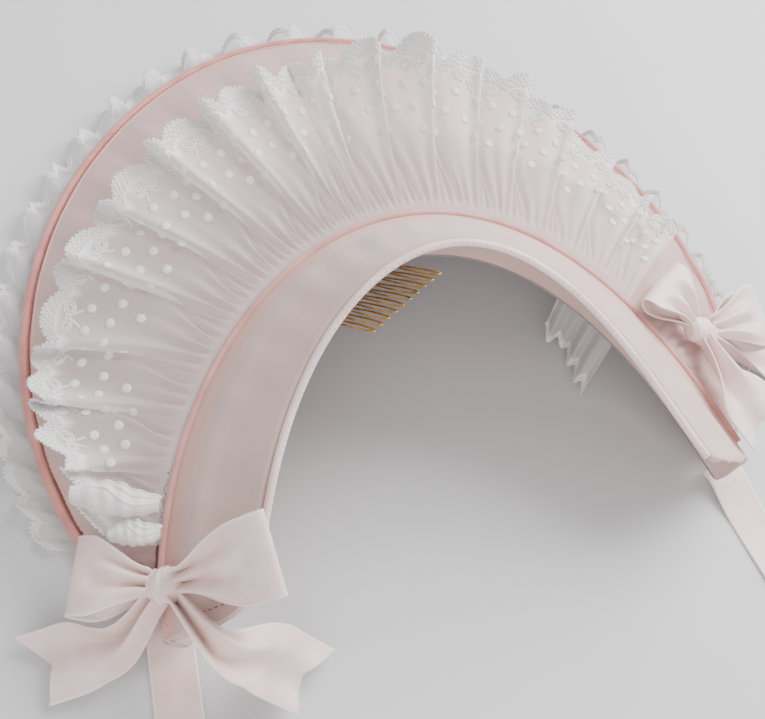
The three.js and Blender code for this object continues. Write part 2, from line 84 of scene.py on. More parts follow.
# Brim, piping and edging
BRIM_WIDTH = 118.0
BRIM_WIDTH_AT_ENDS = 4.0
BRIM_NARROWING = 1.04
BRIM_ROUNDING = 0.16
BRIM_SPAN = 0.95
RIM_HEIGHT = 9.4
RIM_HEIGHT_AT_SIDES = 4.2
BRIM_CROWN = 2.5
STEEPEST = 0.93
GATHER_DEPTH = 0.8
PIPING_RADIUS = 1.6
EDGING_RADIUS = 1.0
WELT_RADIUS = 0.95
BRIM_SEAM_EASE = 0.55
GATHERS_ROUND_BRIM = 24
FINE_GATHERS_ROUND_BRIM = 71
FINE_GATHER_DEPTH = 0.5
# Spacing and radius of the edging's picots, then spacing, length and radius of the machine stitches
EDGING_PICOTS = (1.7, 0.32)
PIPING_STITCHES = (1.7, 1.0, 0.14)
BAND_END_STITCHES = (1.9, 1.3, 0.15)
SEAM_STITCH_SPACING = 2.1
SEAM_STITCH_RADIUS = 0.17

# Lace
NET = 1.1
LACE_WIDTH = 49.0
FLUTE_HEIGHT = 9.0
FLUTE_LEAN = 1.0  # the solid's flutes lean less
FLUTE_GROWTH = 1.15
LIFT_AT_SEAM = 0.55
FLUTE_PULL = 0.25
HEADING_OFFSET = 3.4
FINE_GATHER = 1.1
SOFT_FOLD = 0.7
HEM_WAVE = 0.35
SMALL_HEM_WAVE = 0.25
BACK_HEADING_OFFSET = 5.0
BACK_LACE_TUCK = 2.0
BACK_LACE_REACH = 12.0
BACK_LACE_REACH_RIGHT = 9.5
BACK_LACE_LIFT = 4.5
BACK_LACE_SPAN = 0.86
PLEAT_DEPTH = 2.2
PLEAT_COUNT = 34
SMALL_PLEAT_DEPTH = 0.7
SMALL_PLEATS_EACH = 2.7
BACK_LACE_SAG = 0.8
LACE_UNDER_SHARE = 0.66
SCALLOP = 13.7
GAP = 0.35
SLACK = 0.35

# Comb
COMB_LOOPS = 10
COMB_PITCH = 2.3
COMB_TOOTH = 24.0
COMB_OVERHANG = 10.0
COMB_STATION = -0.26
COMB_WIRE = 0.24  # as thin as real wire, where the solid is stouter
COMB_BAR = 0.7
COMB_LOOP_OPENING = 0.75 * COMB_PITCH
COMB_LOOP_DEPTH = 0.8
COIL_WIRE = 0.3
COIL_TURNS_PER_LOOP = 3
COIL_RADIUS = 0.62 * COMB_BAR

# Ribbon
RIBBON = 0.5  # as thin as real ribbon, where the solid is thicker
BOW_RIBBON_WIDTH = 20.0
LOOP_PUFF = 3.2
LOOP_MOUTH = 0.06
KNOT_LENGTH = 11.0
KNOT_WIDTH = 9.0
KNOT_THICKNESS = 6.5
TAIL_NOTCH = 5.0
LOOP_FOLDS = 2.5
TAIL_FOLDS = 1.5
LOOP_ROOT_SHARE = 0.34
TAIL_ROOT_SHARE = 0.24
TAIL_END_SHARE = 0.96
FOLD_EASE = 0.85
TIE_WIDTH = 12.0
TIE_RIPPLE = 0.5
TIE_SEWN_DEPTH = 0.45
TIE_LEVEL = 0.4
KNOT_CREASE = 0.05
KNOT_FINE_CREASE = 0.03

# Front lace along the seam: place on the seam, share of the lace width, lift off the brim in degrees
LACE_LINE = [
    (-0.88, 0.3, 50),
    (-0.8, 0.48, 38),
    (-0.72, 0.74, 22),
    (-0.62, 0.95, 11),
    (-0.5, 1, 20),
    (-0.3, 1, 29),
    (0, 1, 31),
    (0.12, 1, 33),
    (0.22, 1, 26),
    (0.32, 1, 18),
    (0.42, 1, 9),
    (0.53, 1, 3),
    (0.6, 0.86, 6),
]
LACE_SHARE, LACE_LIFT = 1, 2

# Flutes of the front lace: each crest's place at the seam and at the free edge, its share of the
# flute height, and the side that it leans to
FLUTES = [
    (-0.88, -0.88, 0.3, -1),
    (-0.735, -0.79, 0.75, -1),
    (-0.64, -0.69, 0.75, -1),
    (-0.535, -0.605, 0.55, -1),
    (-0.44, -0.5, 0.8, -1),
    (-0.35, -0.415, 0.7, -1),
    (-0.26, -0.325, 0.8, -1),
    (-0.18, -0.232, 0.9, -1),
    (-0.12, -0.142, 0.75, -0.8),
    (-0.06, -0.055, 0.6, 0.3),
    (0.015, 0.038, 0.9, 1),
    (0.1, 0.123, 1.1, 1),
    (0.195, 0.205, 0.7, 0.8),
    (0.27, 0.284, 1.15, 1),
    (0.36, 0.37, 1.15, 1),
    (0.44, 0.455, 0.8, 1),
    (0.52, 0.535, 0.9, 1),
    (0.6, 0.605, 1.1, 0.4),
]

# Bows: places are shares of the ribbon width, along the seam towards its end, outwards and up
BOWS = [
    {
        "name": "bow_left",
        "station": -0.96,
        "knot": (0.07, -0.04, 0.42),
        "loops": [
            {"name": "inner", "tip": (0.2, -1.28, 1.64), "across": (0.8, -0.24, -0.44)},
            {"name": "outer", "tip": (-0.24, 1.1, 0.02), "across": (0.95, 0.12, -0.08)},
        ],
        "tails": [
            {
                "name": "inner",
                "across": (0.8, 0.58, 0),
                "path": [(0.93, -0.67, 0.68), (0.9, -1.16, 0.16), (0.96, -1.5, -0.26), (1.09, -1.85, -0.5)],
            },
            {
                "name": "outer",
                "across": (0.88, -0.47, 0),
                "path": [(0.58, 0.52, -0.14), (0.6, 0.95, -0.34), (0.67, 1.27, -0.46), (0.73, 1.6, -0.55)],
            },
        ],
    },
    {
        "name": "bow_right",
        "station": 0.74,
        "knot": (0.08, 0.7, 0.02),
        "loops": [
            {"name": "inner", "tip": (-0.78, 0.56, 0.5), "across": (-0.1, 0.97, -0.1)},
            {"name": "outer", "tip": (0.56, 1.9, -0.24), "across": (0.87, -0.42, -0.27)},
        ],
        "tails": [
            {
                "name": "inner",
                "across": (0.12, 0.99, 0),
                "path": [(0.75, 0.38, 0.08), (1.1, 0.3, 0), (1.45, 0.26, -0.14), (1.78, 0.3, -0.34)],
            },
            {
                "name": "outer",
                "across": (0.72, -0.69, 0),
                "path": [(0.62, 1.35, -0.58), (0.97, 1.71, -0.84), (1.33, 1.94, -0.94), (1.6, 2.12, -0.94)],
            },
        ],
    },
]

TIES = [
    {"name": "tie_left", "end": -1, "length": 43.0, "sway": (-0.04, -0.04, -0.08, -0.2, -0.36)},
    {"name": "tie_right", "end": 1, "length": 52.0, "sway": (-0.09, -0.09, -0.16, -0.3, -0.46)},
]
TIE_FORWARD = (-0.07, 0.03, 0.24, 0.6, 1)

# What each cloth was cut to before it was sewn, width by length in millimetres, worked out from the
# lengths of the seam (257, of which the brim takes 243) and of the rim (482) and from the ribbon's width.
# The last number is the flat area in square millimetres where the cut isn't a rectangle.
BAND_CUT = (43, 265, None)
BRIM_CUT = (118, 482, 26600)
FRONT_LACE_CUT = (53, 439, 21600)  # as long as its own hem, 2.36 times the 186 mm of seam that it is gathered to
BACK_LACE_CUT = (130, 582, 39400)  # a crescent from under the seam to 12 mm past the rim, 1.25 times as full
# Loops run from the middle of the knot out to the tip and back, tails from there to their end
LOOP_CUTS = {"bow_left": {"inner": 70, "outer": 50}, "bow_right": {"inner": 40, "outer": 53}}
TAIL_CUTS = {"bow_left": {"inner": 56, "outer": 42}, "bow_right": {"inner": 38, "outer": 47}}
TIE_CUTS = {"tie_left": 46, "tie_right": 56}

# The two petals of the rolled lace end: first and last point, radius and turns. Each is cut from the
# lace as wide as its roll's turns take, 2 pi times its mean radius and turns, and as long as the petal.
ROLLED_PETALS = [((-98, 51, 26.8), (-78, 43, 26.4), 4.6, 1.3), ((-91, 40.3, 22.4), (-79, 36.3, 25.4), 3.6, 1.3)]
ROLLED_CUTS = [(28, 22, None), (22, 13, None)]
LOOSE_END_DEPTH = 28.0
LOOSE_END_CUT = (LOOSE_END_DEPTH, 32, None)  # 28 mm from the seam to its edge, 24 mm of seam gathered 1.3 to 1

UP = np.array([0.0, 0.0, 1.0])


# Sizes along the seam. A place on it runs from -1 at the left end to 1 at the right end.
def smooth(low, high, value):
    """0 up to low and 1 from high, eased between."""
    share = np.clip((np.asarray(value, float) - low) / (high - low), 0, 1)
    return share * share * (3 - 2 * share)


def unit(vectors):
    return vectors / np.maximum(np.linalg.norm(vectors, axis=-1, keepdims=True), 1e-12)


def run_along(line):
    """The distance from a line's start to each of its points."""
    return np.concatenate([[0], np.cumsum(np.linalg.norm(np.diff(line, axis=0), axis=1))])


def lattice(columns, rows, along=(0, 1), across=(0, 1)):
    """Two grids of numbers that step evenly, one along a sheet and one across it."""
    return np.meshgrid(np.linspace(*along, columns), np.linspace(*across, rows), indexing="ij")


def seam_height(at):
    """How high the seam stands over the table."""
    share = np.cos(np.minimum(np.abs(at), 1) * math.pi / 2)
    return END_HEIGHT + (CREST_HEIGHT - END_HEIGHT) * np.maximum(share, 0) ** 1.5


def station(at):
    """A point of the seam, with the level directions outwards and towards its nearer end."""
    held = np.clip(np.asarray(at, float), -1, 1)
    turn = held * math.radians(END_TURN)
    zero = np.zeros_like(turn)
    foot = np.stack([SEAM_HALF_WIDTH * np.sin(turn), SEAM_REACH * np.cos(turn), seam_height(held)], -1)
    out = unit(np.stack([SEAM_REACH * np.sin(turn), SEAM_HALF_WIDTH * np.cos(turn), zero], -1))
    along = unit(np.stack([SEAM_HALF_WIDTH * np.cos(turn), -SEAM_REACH * np.sin(turn), zero], -1))
    return foot, out, along * np.where(held < 0, -1, 1)[..., None]


def place(at, out, up, along=0.0):
    """A point so far out, up and along from a place on the seam."""
    foot, outwards, sideways = station(at)
    out, up, along = (np.asarray(x, float)[..., None] for x in (out, up, along))
    return foot + outwards * out + sideways * along + UP * up


def brim_section(at):
    """The brim's width at a place on the seam, and how far it drops and runs out."""
    side = np.hypot(at, BRIM_ROUNDING) - BRIM_ROUNDING
    side = side / (math.hypot(1, BRIM_ROUNDING) - BRIM_ROUNDING)
    width = BRIM_WIDTH_AT_ENDS + (BRIM_WIDTH - BRIM_WIDTH_AT_ENDS) * (1 - side**BRIM_NARROWING)
    level = RIM_HEIGHT_AT_SIDES + (RIM_HEIGHT - RIM_HEIGHT_AT_SIDES) * (1 - np.square(at)) ** 2
    drop = np.minimum(seam_height(at) - level, STEEPEST * width)
    run = np.sqrt(width * width - drop * drop)
    return width, drop, run


def brim_height(at, out):
    """How far the brim's middle surface lies above the seam, so far out from it."""
    width, drop, run = brim_section(at)
    share = np.clip(out / run, 0, 1)
    return -drop / run * out + BRIM_CROWN * width / BRIM_WIDTH * np.sin(math.pi * share)


def row_shift():
    """From the arch's own frame to the row frame: the brim is even from side to side, and its far edge is known."""
    low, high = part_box("brim")
    _, drop, run = (float(x) for x in brim_section(0.0))
    far = SEAM_REACH + run + CLOTH / 2 * math.sin(math.atan2(drop + math.pi * BRIM_CROWN, run))
    return np.array([(low[0] + high[0]) / 2 / MM, high[1] / MM - far, 0.0])


SHIFT = row_shift()


# Materials
def linear(hex_colour):
    """sRGB hex, such as "#c9bbbb", as a linear colour with alpha 1."""
    values = [int(hex_colour[i : i + 2], 16) / 255 for i in (1, 3, 5)]
    return tuple(v / 12.92 if v <= 0.04045 else ((v + 0.055) / 1.055) ** 2.4 for v in values) + (1.0,)


def add(tree, kind, settings=None, inputs=None):
    """A node with its settings and its inputs."""
    node = tree.nodes.new(kind)
    for key, value in (settings or {}).items():
        setattr(node, key, value)
    set_inputs(tree, node, inputs or {})
    return node


def set_inputs(tree, node, values):
    """Inputs are given as values, or as sockets to link."""
    for key, value in values.items():
        if isinstance(value, bpy.types.NodeSocket):
            tree.links.new(value, node.inputs[key])
        else:
            node.inputs[key].default_value = value


def math_node(tree, operation, first, second=0.0, third=0.0):
    return add(tree, "ShaderNodeMath", {"operation": operation}, {0: first, 1: second, 2: third}).outputs[0]


def ramp(tree, value, low, high, start=0.0, end=1.0):
    inputs = {"Value": value, "From Min": low, "From Max": high, "To Min": start, "To Max": end}
    return add(tree, "ShaderNodeMapRange", {"interpolation_type": "SMOOTHSTEP"}, inputs).outputs["Result"]


def mix(tree, share, first, second):
    inputs = {0: share, 6: first, 7: second}
    return add(tree, "ShaderNodeMix", {"data_type": "RGBA"}, inputs).outputs[2]


def noise(tree, vector, size, detail=3.0):
    """Noise whose patches are about size across, in the units of vector."""
    inputs = {"Vector": vector, "Scale": 1 / size, "Detail": detail}
    return add(tree, "ShaderNodeTexNoise", None, inputs).outputs["Fac"]


def surface(name):
    material = bpy.data.materials.new(name)
    material.use_nodes = True
    tree = material.node_tree
    return material, tree, tree.nodes["Principled BSDF"]


def streaks(tree, uv, scale):
    """Noise drawn out along the cloth, as threads and floats are."""
    return noise(tree, add(tree, "ShaderNodeMapping", None, {"Vector": uv, "Scale": scale}).outputs[0], 1.0)


def share_of(tree, value, share):
    return math_node(tree, "MULTIPLY", value, share)


def cloth_coordinates(tree):
    """The cloth's own width and length in millimetres, from its UV map."""
    uv = add(tree, "ShaderNodeUVMap", {"uv_map": "UVMap"}).outputs["UV"]
    parts = add(tree, "ShaderNodeSeparateXYZ", None, {"Vector": uv})
    return uv, parts.outputs["X"], parts.outputs["Y"]


def sine(tree, value, pitch):
    turned = math_node(tree, "MULTIPLY", value, 2 * math.pi / pitch)
    return math_node(tree, "SINE", turned)


def bump(tree, height, distance, strength=1.0):
    inputs = {"Height": height, "Distance": distance * MM, "Strength": strength}
    return add(tree, "ShaderNodeBump", None, inputs).outputs["Normal"]


def cotton_lawn(name, colour, shade, warm, thread=0.45, allowance=0.0):
    """Cotton lawn, plain woven: matt, with fine over-and-under threads and soft unevenness from wear.
    Real threads are 0.15 mm apart and are drawn at three times that so that they show. Over the seam
    allowance, so many millimetres in from the seam, the warmer cloth below tints it."""
    material, tree, shader = surface(name)
    uv, x, y = cloth_coordinates(tree)
    weave = math_node(tree, "MULTIPLY", sine(tree, x, 2 * thread), sine(tree, y, 2 * thread))
    slub = streaks(tree, uv, (0.12, 1.6, 1))
    patches = noise(tree, uv, 18.0)
    base = mix(tree, ramp(tree, patches, 0.35, 0.7), linear(colour), linear(shade))
    base = mix(tree, share_of(tree, ramp(tree, slub, 0.55, 0.8), 0.35), base, linear(warm))
    if allowance:
        past_seam = ramp(tree, y, 0.0, 0.6)
        over_allowance = ramp(tree, y, 0.7 * allowance, 1.3 * allowance, 1.0, 0.0)
        inside = math_node(tree, "MULTIPLY", past_seam, over_allowance)
        base = mix(tree, share_of(tree, inside, 0.55), base, linear("#D79F90"))
    lit = math_node(tree, "MULTIPLY_ADD", weave, 0.5, 0.5)
    base = mix(tree, share_of(tree, lit, 0.12), base, linear(shade))
    values = {"Base Color": base, "Roughness": 0.86, "IOR": 1.5, "Sheen Weight": 0.25, "Sheen Roughness": 0.45}
    values["Normal"] = bump(tree, math_node(tree, "MULTIPLY_ADD", slub, 0.8, weave), 0.05, 0.5)
    set_inputs(tree, shader, values)
    return material


def satin_ribbon(name, colour, shade, selvedge_highlight):
    """Polyester satin ribbon, warp-faced: long floats along the ribbon give a soft streaked sheen. The
    second UV coordinate is the distance from the nearer edge. Both edges are firmer woven edges, and they are mixed
    towards near-white as a painted highlight."""
    material, tree, shader = surface(name)
    uv, x, y = cloth_coordinates(tree)
    floats = streaks(tree, uv, (0.05, 4.0, 1))
    patches = noise(tree, uv, 12.0, 2.0)
    base = mix(tree, ramp(tree, patches, 0.35, 0.7), linear(colour), linear(shade))
    # Painted highlight: near both edges of the ribbon the colour is mixed towards the pale highlight colour
    edge = ramp(tree, y, 0.45, 0.8, 1.0, 0.0)
    base = mix(tree, share_of(tree, edge, 0.7), base, linear(selvedge_highlight))
    gloss = ramp(tree, floats, 0.3, 0.7, 0.36, 0.46)
    values = {"Base Color": base, "Roughness": gloss, "IOR": 1.54, "Specular IOR Level": 0.55}
    values.update({"Sheen Weight": 0.3, "Sheen Roughness": 0.3})
    values["Normal"] = bump(tree, floats, 0.03, 0.35)
    set_inputs(tree, shader, values)
    return material


def bias_binding(name, colour, shade):
    """Bias-cut cotton over a cord: threads run at 45 degrees, and it is worn a little paler in places."""
    material, tree, shader = surface(name)
    uv, x, y = cloth_coordinates(tree)
    rise = sine(tree, math_node(tree, "ADD", x, y), 0.9)
    fall = sine(tree, math_node(tree, "SUBTRACT", x, y), 0.9)
    weave = math_node(tree, "MULTIPLY", rise, fall)
    patches = noise(tree, uv, 9.0)
    base = mix(tree, ramp(tree, patches, 0.35, 0.7), linear(colour), linear(shade))
    values = {"Base Color": base, "Roughness": 0.72, "IOR": 1.5, "Sheen Weight": 0.3}
    values["Normal"] = bump(tree, weave, 0.08, 0.6)
    set_inputs(tree, shader, values)
    return material


def bobbin_net(name, colour, mesh, cover, hem_cover, hem_depth):
    """Net: two slanting sets of threads with open cells between them, seen as a fine veil, and closer
    worked near its free edge. The second UV coordinate is the distance from that edge, and the attribute
    doubled says where the net lies over itself and so looks whiter."""
    material, tree, shader = surface(name)
    uv, x, y = cloth_coordinates(tree)
    rise = math_node(tree, "ABSOLUTE", sine(tree, math_node(tree, "ADD", x, y), 2 * mesh))
    fall = math_node(tree, "ABSOLUTE", sine(tree, math_node(tree, "SUBTRACT", x, y), 2 * mesh))
    open_cell = math_node(tree, "MINIMUM", rise, fall)
    thread = ramp(tree, open_cell, 0.12, 0.5, 1.0, 0.0)
    near_hem = ramp(tree, y, 0.4 * hem_depth, hem_depth, hem_cover, cover)
    patches = noise(tree, uv, 14.0, 2.0)
    doubled = add(tree, "ShaderNodeAttribute", {"attribute_name": "doubled"}).outputs["Fac"]
    veil = math_node(tree, "MULTIPLY_ADD", patches, 0.08, near_hem)
    veil = math_node(tree, "MULTIPLY_ADD", doubled, 0.42, veil)
    alpha = math_node(tree, "MAXIMUM", veil, share_of(tree, thread, 0.6))
    values = {"Base Color": linear(colour), "Roughness": 0.8, "IOR": 1.5, "Sheen Weight": 0.2}
    values["Alpha"] = math_node(tree, "MINIMUM", alpha, 1.0)
    values["Normal"] = bump(tree, thread, 0.08, 0.4)
    set_inputs(tree, shader, values)
    return material


def cotton_thread(name, colour, shade):
    """Twisted mercerised cotton, as lace and stitches are worked in: matt with a slight lustre."""
    material, tree, shader = surface(name)
    place_in = add(tree, "ShaderNodeTexCoord").outputs["Object"]
    grain = noise(tree, place_in, 0.5 * MM, 2.0)
    base = mix(tree, grain, linear(colour), linear(shade))
    set_inputs(tree, shader, {"Base Color": base, "Roughness": 0.7, "IOR": 1.53, "Sheen Weight": 0.2})
    return material


def brass_wire(name, colour, dark):
    """Drawn brass wire, gold-coloured and polished, with faint draw lines and a little tarnish."""
    material, tree, shader = surface(name)
    place_in = add(tree, "ShaderNodeTexCoord").outputs["Object"]
    tarnish = noise(tree, place_in, 3.0 * MM)
    base = mix(tree, ramp(tree, tarnish, 0.45, 0.8), linear(colour), linear(dark))
    gloss = ramp(tree, tarnish, 0.3, 0.8, 0.22, 0.42)
    set_inputs(tree, shader, {"Base Color": base, "Roughness": gloss, "Metallic": 1.0})
    return material


# Meshes
def placed(name, data):
    """A new object in the scene, unturned and at the origin."""
    obj = bpy.data.objects.new(name, data)
    bpy.context.scene.collection.objects.link(obj)
    return obj


def mesh_object(name, points, faces, material, uvs=None):
    """A smooth mesh from points in the arch's own frame, in millimetres, with UVs in millimetres."""
    mesh = bpy.data.meshes.new(name)
    mesh.from_pydata(((np.asarray(points).reshape(-1, 3) + SHIFT) * MM).tolist(), [], faces)
    if uvs is not None:
        corners = np.empty(len(mesh.loops), dtype=np.int32)
        mesh.loops.foreach_get("vertex_index", corners)
        layer = mesh.uv_layers.new(name="UVMap")
        layer.data.foreach_set("uv", np.asarray(uvs, float).reshape(-1, 2)[corners].ravel())
    mesh.shade_smooth()
    mesh.materials.append(material)
    return placed(name, mesh)


def grid_faces(rows, columns):
    index = np.arange(rows * columns).reshape(rows, columns)
    return np.stack([index[:-1, :-1], index[1:, :-1], index[1:, 1:], index[:-1, 1:]], -1).reshape(-1, 4), index


def grid_uv(grid):
    """Millimetres along and across a grid of points, measured on its middle lines."""
    lengths = run_along(grid[:, grid.shape[1] // 2])
    widths = run_along(grid[grid.shape[0] // 2])
    return np.stack(np.meshgrid(lengths, widths, indexing="ij"), -1)


def net_sheet(name, grid, uv, material, doubled=None):
    """A single layer of net, with no thickness of its own to see."""
    faces, _ = grid_faces(*grid.shape[:2])
    made = mesh_object(name, grid, faces.tolist(), material, uv)
    layer = made.data.attributes.new("doubled", "FLOAT", "POINT")
    layer.data.foreach_set("value", (np.zeros(grid.shape[:2]) if doubled is None else doubled).ravel())
    return made


def cloth_sheet(name, grid, uv, thickness, material):
    """A closed sheet of cloth with a rounded edge all round."""
    faces, index = grid_faces(*grid.shape[:2])
    normal = unit(np.cross(np.gradient(grid, axis=0), np.gradient(grid, axis=1))) * thickness / 2
    inwards = np.zeros_like(grid)
    inwards[0] += unit(grid[1] - grid[0])
    inwards[-1] += unit(grid[-2] - grid[-1])
    inwards[:, 0] += unit(grid[:, 1] - grid[:, 0])
    inwards[:, -1] += unit(grid[:, -2] - grid[:, -1])
    count = index.size
    rim = np.concatenate([index[:, 0], index[-1, 1:], index[-2::-1, -1], index[0, -2:0:-1]])
    middle = grid.reshape(-1, 3)
    inset = middle + inwards.reshape(-1, 3) * thickness * 0.3
    front = inset + normal.reshape(-1, 3)
    back = inset - normal.reshape(-1, 3)
    border = middle[rim]
    ring = 2 * count + np.arange(len(rim))
    after = np.roll(rim, -1)
    ring_after = np.roll(ring, -1)
    upper = np.stack([after, rim, ring, ring_after], -1)
    lower = np.stack([ring_after, ring, rim + count, after + count], -1)
    all_faces = np.concatenate([faces, faces[:, ::-1] + count, upper, lower])
    flat_uv = uv.reshape(-1, 2)
    points = np.concatenate([front, back, border])
    return mesh_object(name, points, all_faces.tolist(), material, np.concatenate([flat_uv, flat_uv, flat_uv[rim]]))


def round_cord(name, line, radius, material, sides=10):
    """A round cord along a line of points, with its ends closed."""
    line = np.asarray(line, float)
    heading = unit(np.gradient(line, axis=0))
    side = unit(np.cross(heading, UP))
    over = np.cross(side, heading)
    turn = np.linspace(0, 2 * math.pi, sides + 1)[:-1]
    ring = side[:, None] * np.cos(turn)[None, :, None] + over[:, None] * np.sin(turn)[None, :, None]
    points = (line[:, None] + ring * radius).reshape(-1, 3)
    faces = []
    for i in range(len(line) - 1):
        for k in range(sides):
            j = (k + 1) % sides
            faces.append([i * sides + k, i * sides + j, (i + 1) * sides + j, (i + 1) * sides + k])
    faces.append(list(range(sides))[::-1])
    faces.append([(len(line) - 1) * sides + k for k in range(sides)])
    uv = np.stack(np.meshgrid(run_along(line), turn * radius, indexing="ij"), -1)
    return mesh_object(name, points, faces, material, uv)


def catmull(points, samples):
    """A smooth open curve through a few chosen points."""
    points = np.asarray(points, float)
    padded = np.concatenate([[2 * points[0] - points[1]], points, [2 * points[-1] - points[-2]]])
    spans = len(points) - 1
    result = []
    for t in np.linspace(0, spans, samples):
        k = min(int(t), spans - 1)
        u = t - k
        p0, p1, p2, p3 = padded[k : k + 4]
        bend = (2 * p0 - 5 * p1 + 4 * p2 - p3) * u * u + (3 * p1 - p0 - 3 * p2 + p3) * u**3
        result.append(0.5 * (2 * p1 + (p2 - p0) * u + bend))
    return np.array(result)


# Geometry Nodes for what repeats: cords, beads, stitches and spots along lines
def tree_with(name, sizes):
    tree = bpy.data.node_groups.new(name, "GeometryNodeTree")
    tree.interface.new_socket("Geometry", in_out="INPUT", socket_type="NodeSocketGeometry")
    for size in sizes:
        tree.interface.new_socket(size, in_out="INPUT", socket_type="NodeSocketFloat")
    tree.interface.new_socket("Material", in_out="INPUT", socket_type="NodeSocketMaterial")
    tree.interface.new_socket("Geometry", in_out="OUTPUT", socket_type="NodeSocketGeometry")
    return tree, add(tree, "NodeGroupInput")


def finish_tree(tree, source, geometry):
    whole = add(tree, "GeometryNodeRealizeInstances", None, {"Geometry": geometry}).outputs[0]
    shaded = add(tree, "GeometryNodeSetShadeSmooth", None, {"Geometry": whole}).outputs[0]
    inputs = {"Geometry": shaded, "Material": source.outputs["Material"]}
    done = add(tree, "GeometryNodeSetMaterial", None, inputs).outputs[0]
    add(tree, "NodeGroupOutput", None, {"Geometry": done})


def curve_of(tree, source):
    return add(tree, "GeometryNodeMeshToCurve", None, {"Mesh": source.outputs["Geometry"]}).outputs[0]


def points_along(tree, source):
    inputs = {"Curve": curve_of(tree, source), "Length": source.outputs["Spacing"]}
    return add(tree, "GeometryNodeResampleCurve", {"mode": "LENGTH"}, inputs).outputs[0]


def finish_instances(tree, source, inputs):
    finish_tree(tree, source, add(tree, "GeometryNodeInstanceOnPoints", None, inputs).outputs[0])
    return tree


def finish_balls(tree, source, points, segments, rings, height, heading):
    """A ball on each point, drawn out to a height along its heading."""
    inputs = {"Segments": segments, "Rings": rings, "Radius": 1.0}
    ball = add(tree, "GeometryNodeMeshUVSphere", None, inputs).outputs[0]
    inputs = {"X": source.outputs["Radius"], "Y": source.outputs["Radius"], "Z": height}
    size = add(tree, "ShaderNodeCombineXYZ", None, inputs).outputs[0]
    turn = add(tree, "FunctionNodeAlignEulerToVector", {"axis": "Z"}, {"Vector": heading}).outputs[0]
    inputs = {"Points": points, "Instance": ball, "Rotation": turn, "Scale": size}
    return finish_instances(tree, source, inputs)


def cord_tree():
    tree, source = tree_with("Cords along lines", ["Radius"])
    inputs = {"Resolution": 6, "Radius": source.outputs["Radius"]}
    profile = add(tree, "GeometryNodeCurvePrimitiveCircle", None, inputs).outputs[0]
    inputs = {"Curve": curve_of(tree, source), "Profile Curve": profile, "Fill Caps": True}
    finish_tree(tree, source, add(tree, "GeometryNodeCurveToMesh", None, inputs).outputs[0])
    return tree


def bead_tree():
    tree, source = tree_with("Beads along lines", ["Spacing", "Radius"])
    inputs = {"Radius": source.outputs["Radius"], "Subdivisions": 1}
    bead = add(tree, "GeometryNodeMeshIcoSphere", None, inputs).outputs[0]
    inputs = {2: 0.8, 3: 1.15, "Seed": 3}
    uneven = add(tree, "FunctionNodeRandomValue", {"data_type": "FLOAT"}, inputs).outputs[1]
    inputs = {"Points": points_along(tree, source), "Instance": bead, "Scale": uneven}
    return finish_instances(tree, source, inputs)


def stitch_tree():
    tree, source = tree_with("Stitches along lines", ["Spacing", "Length", "Radius"])
    heading = add(tree, "GeometryNodeInputTangent").outputs[0]
    half = math_node(tree, "MULTIPLY", source.outputs["Length"], 0.5)
    return finish_balls(tree, source, points_along(tree, source), 6, 4, half, heading)


def spot_tree():
    tree, source = tree_with("Spots on cloth", ["Radius", "Height"])
    settings = {"data_type": "FLOAT_VECTOR"}
    heading = add(tree, "GeometryNodeInputNamedAttribute", settings, {"Name": "facing"}).outputs[0]
    return finish_balls(tree, source, source.outputs["Geometry"], 10, 5, source.outputs["Height"], heading)


def line_mesh(name, lines):
    """Loose edges through each line of points, in millimetres. A line may be given as (points, closed)."""
    points = []
    edges = []
    for line in lines:
        line, closed = line if isinstance(line, tuple) else (line, False)
        start = len(points)
        points.extend(np.asarray(line, float).tolist())
        edges.extend((k, k + 1) for k in range(start, len(points) - 1))
        if closed:
            edges.append((len(points) - 1, start))
    mesh = bpy.data.meshes.new(name)
    mesh.from_pydata(((np.array(points) + SHIFT) * MM).tolist(), edges, [])
    return mesh


def grow(name, mesh, tree, material, sizes):
    """The tree's result on a mesh, as a plain mesh. Sizes are in millimetres."""
    obj = placed(name, mesh)
    modifier = obj.modifiers.new("Grow", "NODES")
    modifier.node_group = tree
    for item in tree.interface.items_tree:
        if item.in_out == "INPUT" and item.name in sizes:
            modifier[item.identifier] = float(sizes[item.name] * MM)
        if item.in_out == "INPUT" and item.name == "Material":
            modifier[item.identifier] = material
    graph = bpy.context.evaluated_depsgraph_get()
    made = bpy.data.meshes.new_from_object(obj.evaluated_get(graph))
    obj.modifiers.clear()
    obj.data = made
    bpy.data.meshes.remove(mesh)
    return obj


def cords(name, lines, radius, material):
    return grow(name, line_mesh(name, lines), cord_tree(), material, {"Radius": radius})


def beads(name, lines, spacing, radius, material):
    return grow(name, line_mesh(name, lines), bead_tree(), material, {"Spacing": spacing, "Radius": radius})


def stitches(name, lines, spacing, length, radius, material):
    sizes = {"Spacing": spacing, "Length": length, "Radius": radius}
    return grow(name, line_mesh(name, lines), stitch_tree(), material, sizes)


def spots(name, points, facing, radius, height, material):
    mesh = line_mesh(name, [points[k : k + 1] for k in range(len(points))])
    layer = mesh.attributes.new("facing", "FLOAT_VECTOR", "POINT")
    layer.data.foreach_set("vector", np.asarray(facing, float).ravel())
    return grow(name, mesh, spot_tree(), material, {"Radius": radius, "Height": height})


def joined(name, parts):
    """Several made meshes as one piece."""
    with bpy.context.temp_override(active_object=parts[0], selected_editable_objects=parts):
        bpy.ops.object.join()
    parts[0].name = name
    parts[0].data.name = name
    return parts[0]


def settle(piece, nodes=()):
    """The piece rides on the headdress and may stand for solids, which it hides."""
    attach(piece, ROOT)
    if nodes:
        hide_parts(*nodes)
    return piece


def declare_cloth(cut):
    """Unpacks what a cloth piece was cut to, in millimetres, and turns the area into square metres, but keeps
    nothing.
    """
    width, length, area = cut
    area = None if area is None else area * MM * MM


# Headband, brim and their trims
def front_width(at):
    """The width of the band's front, which narrows to its ends."""
    return FRONT_WIDTH + (FRONT_WIDTH_AT_ENDS - FRONT_WIDTH) * np.minimum(np.abs(at), 1) ** 6


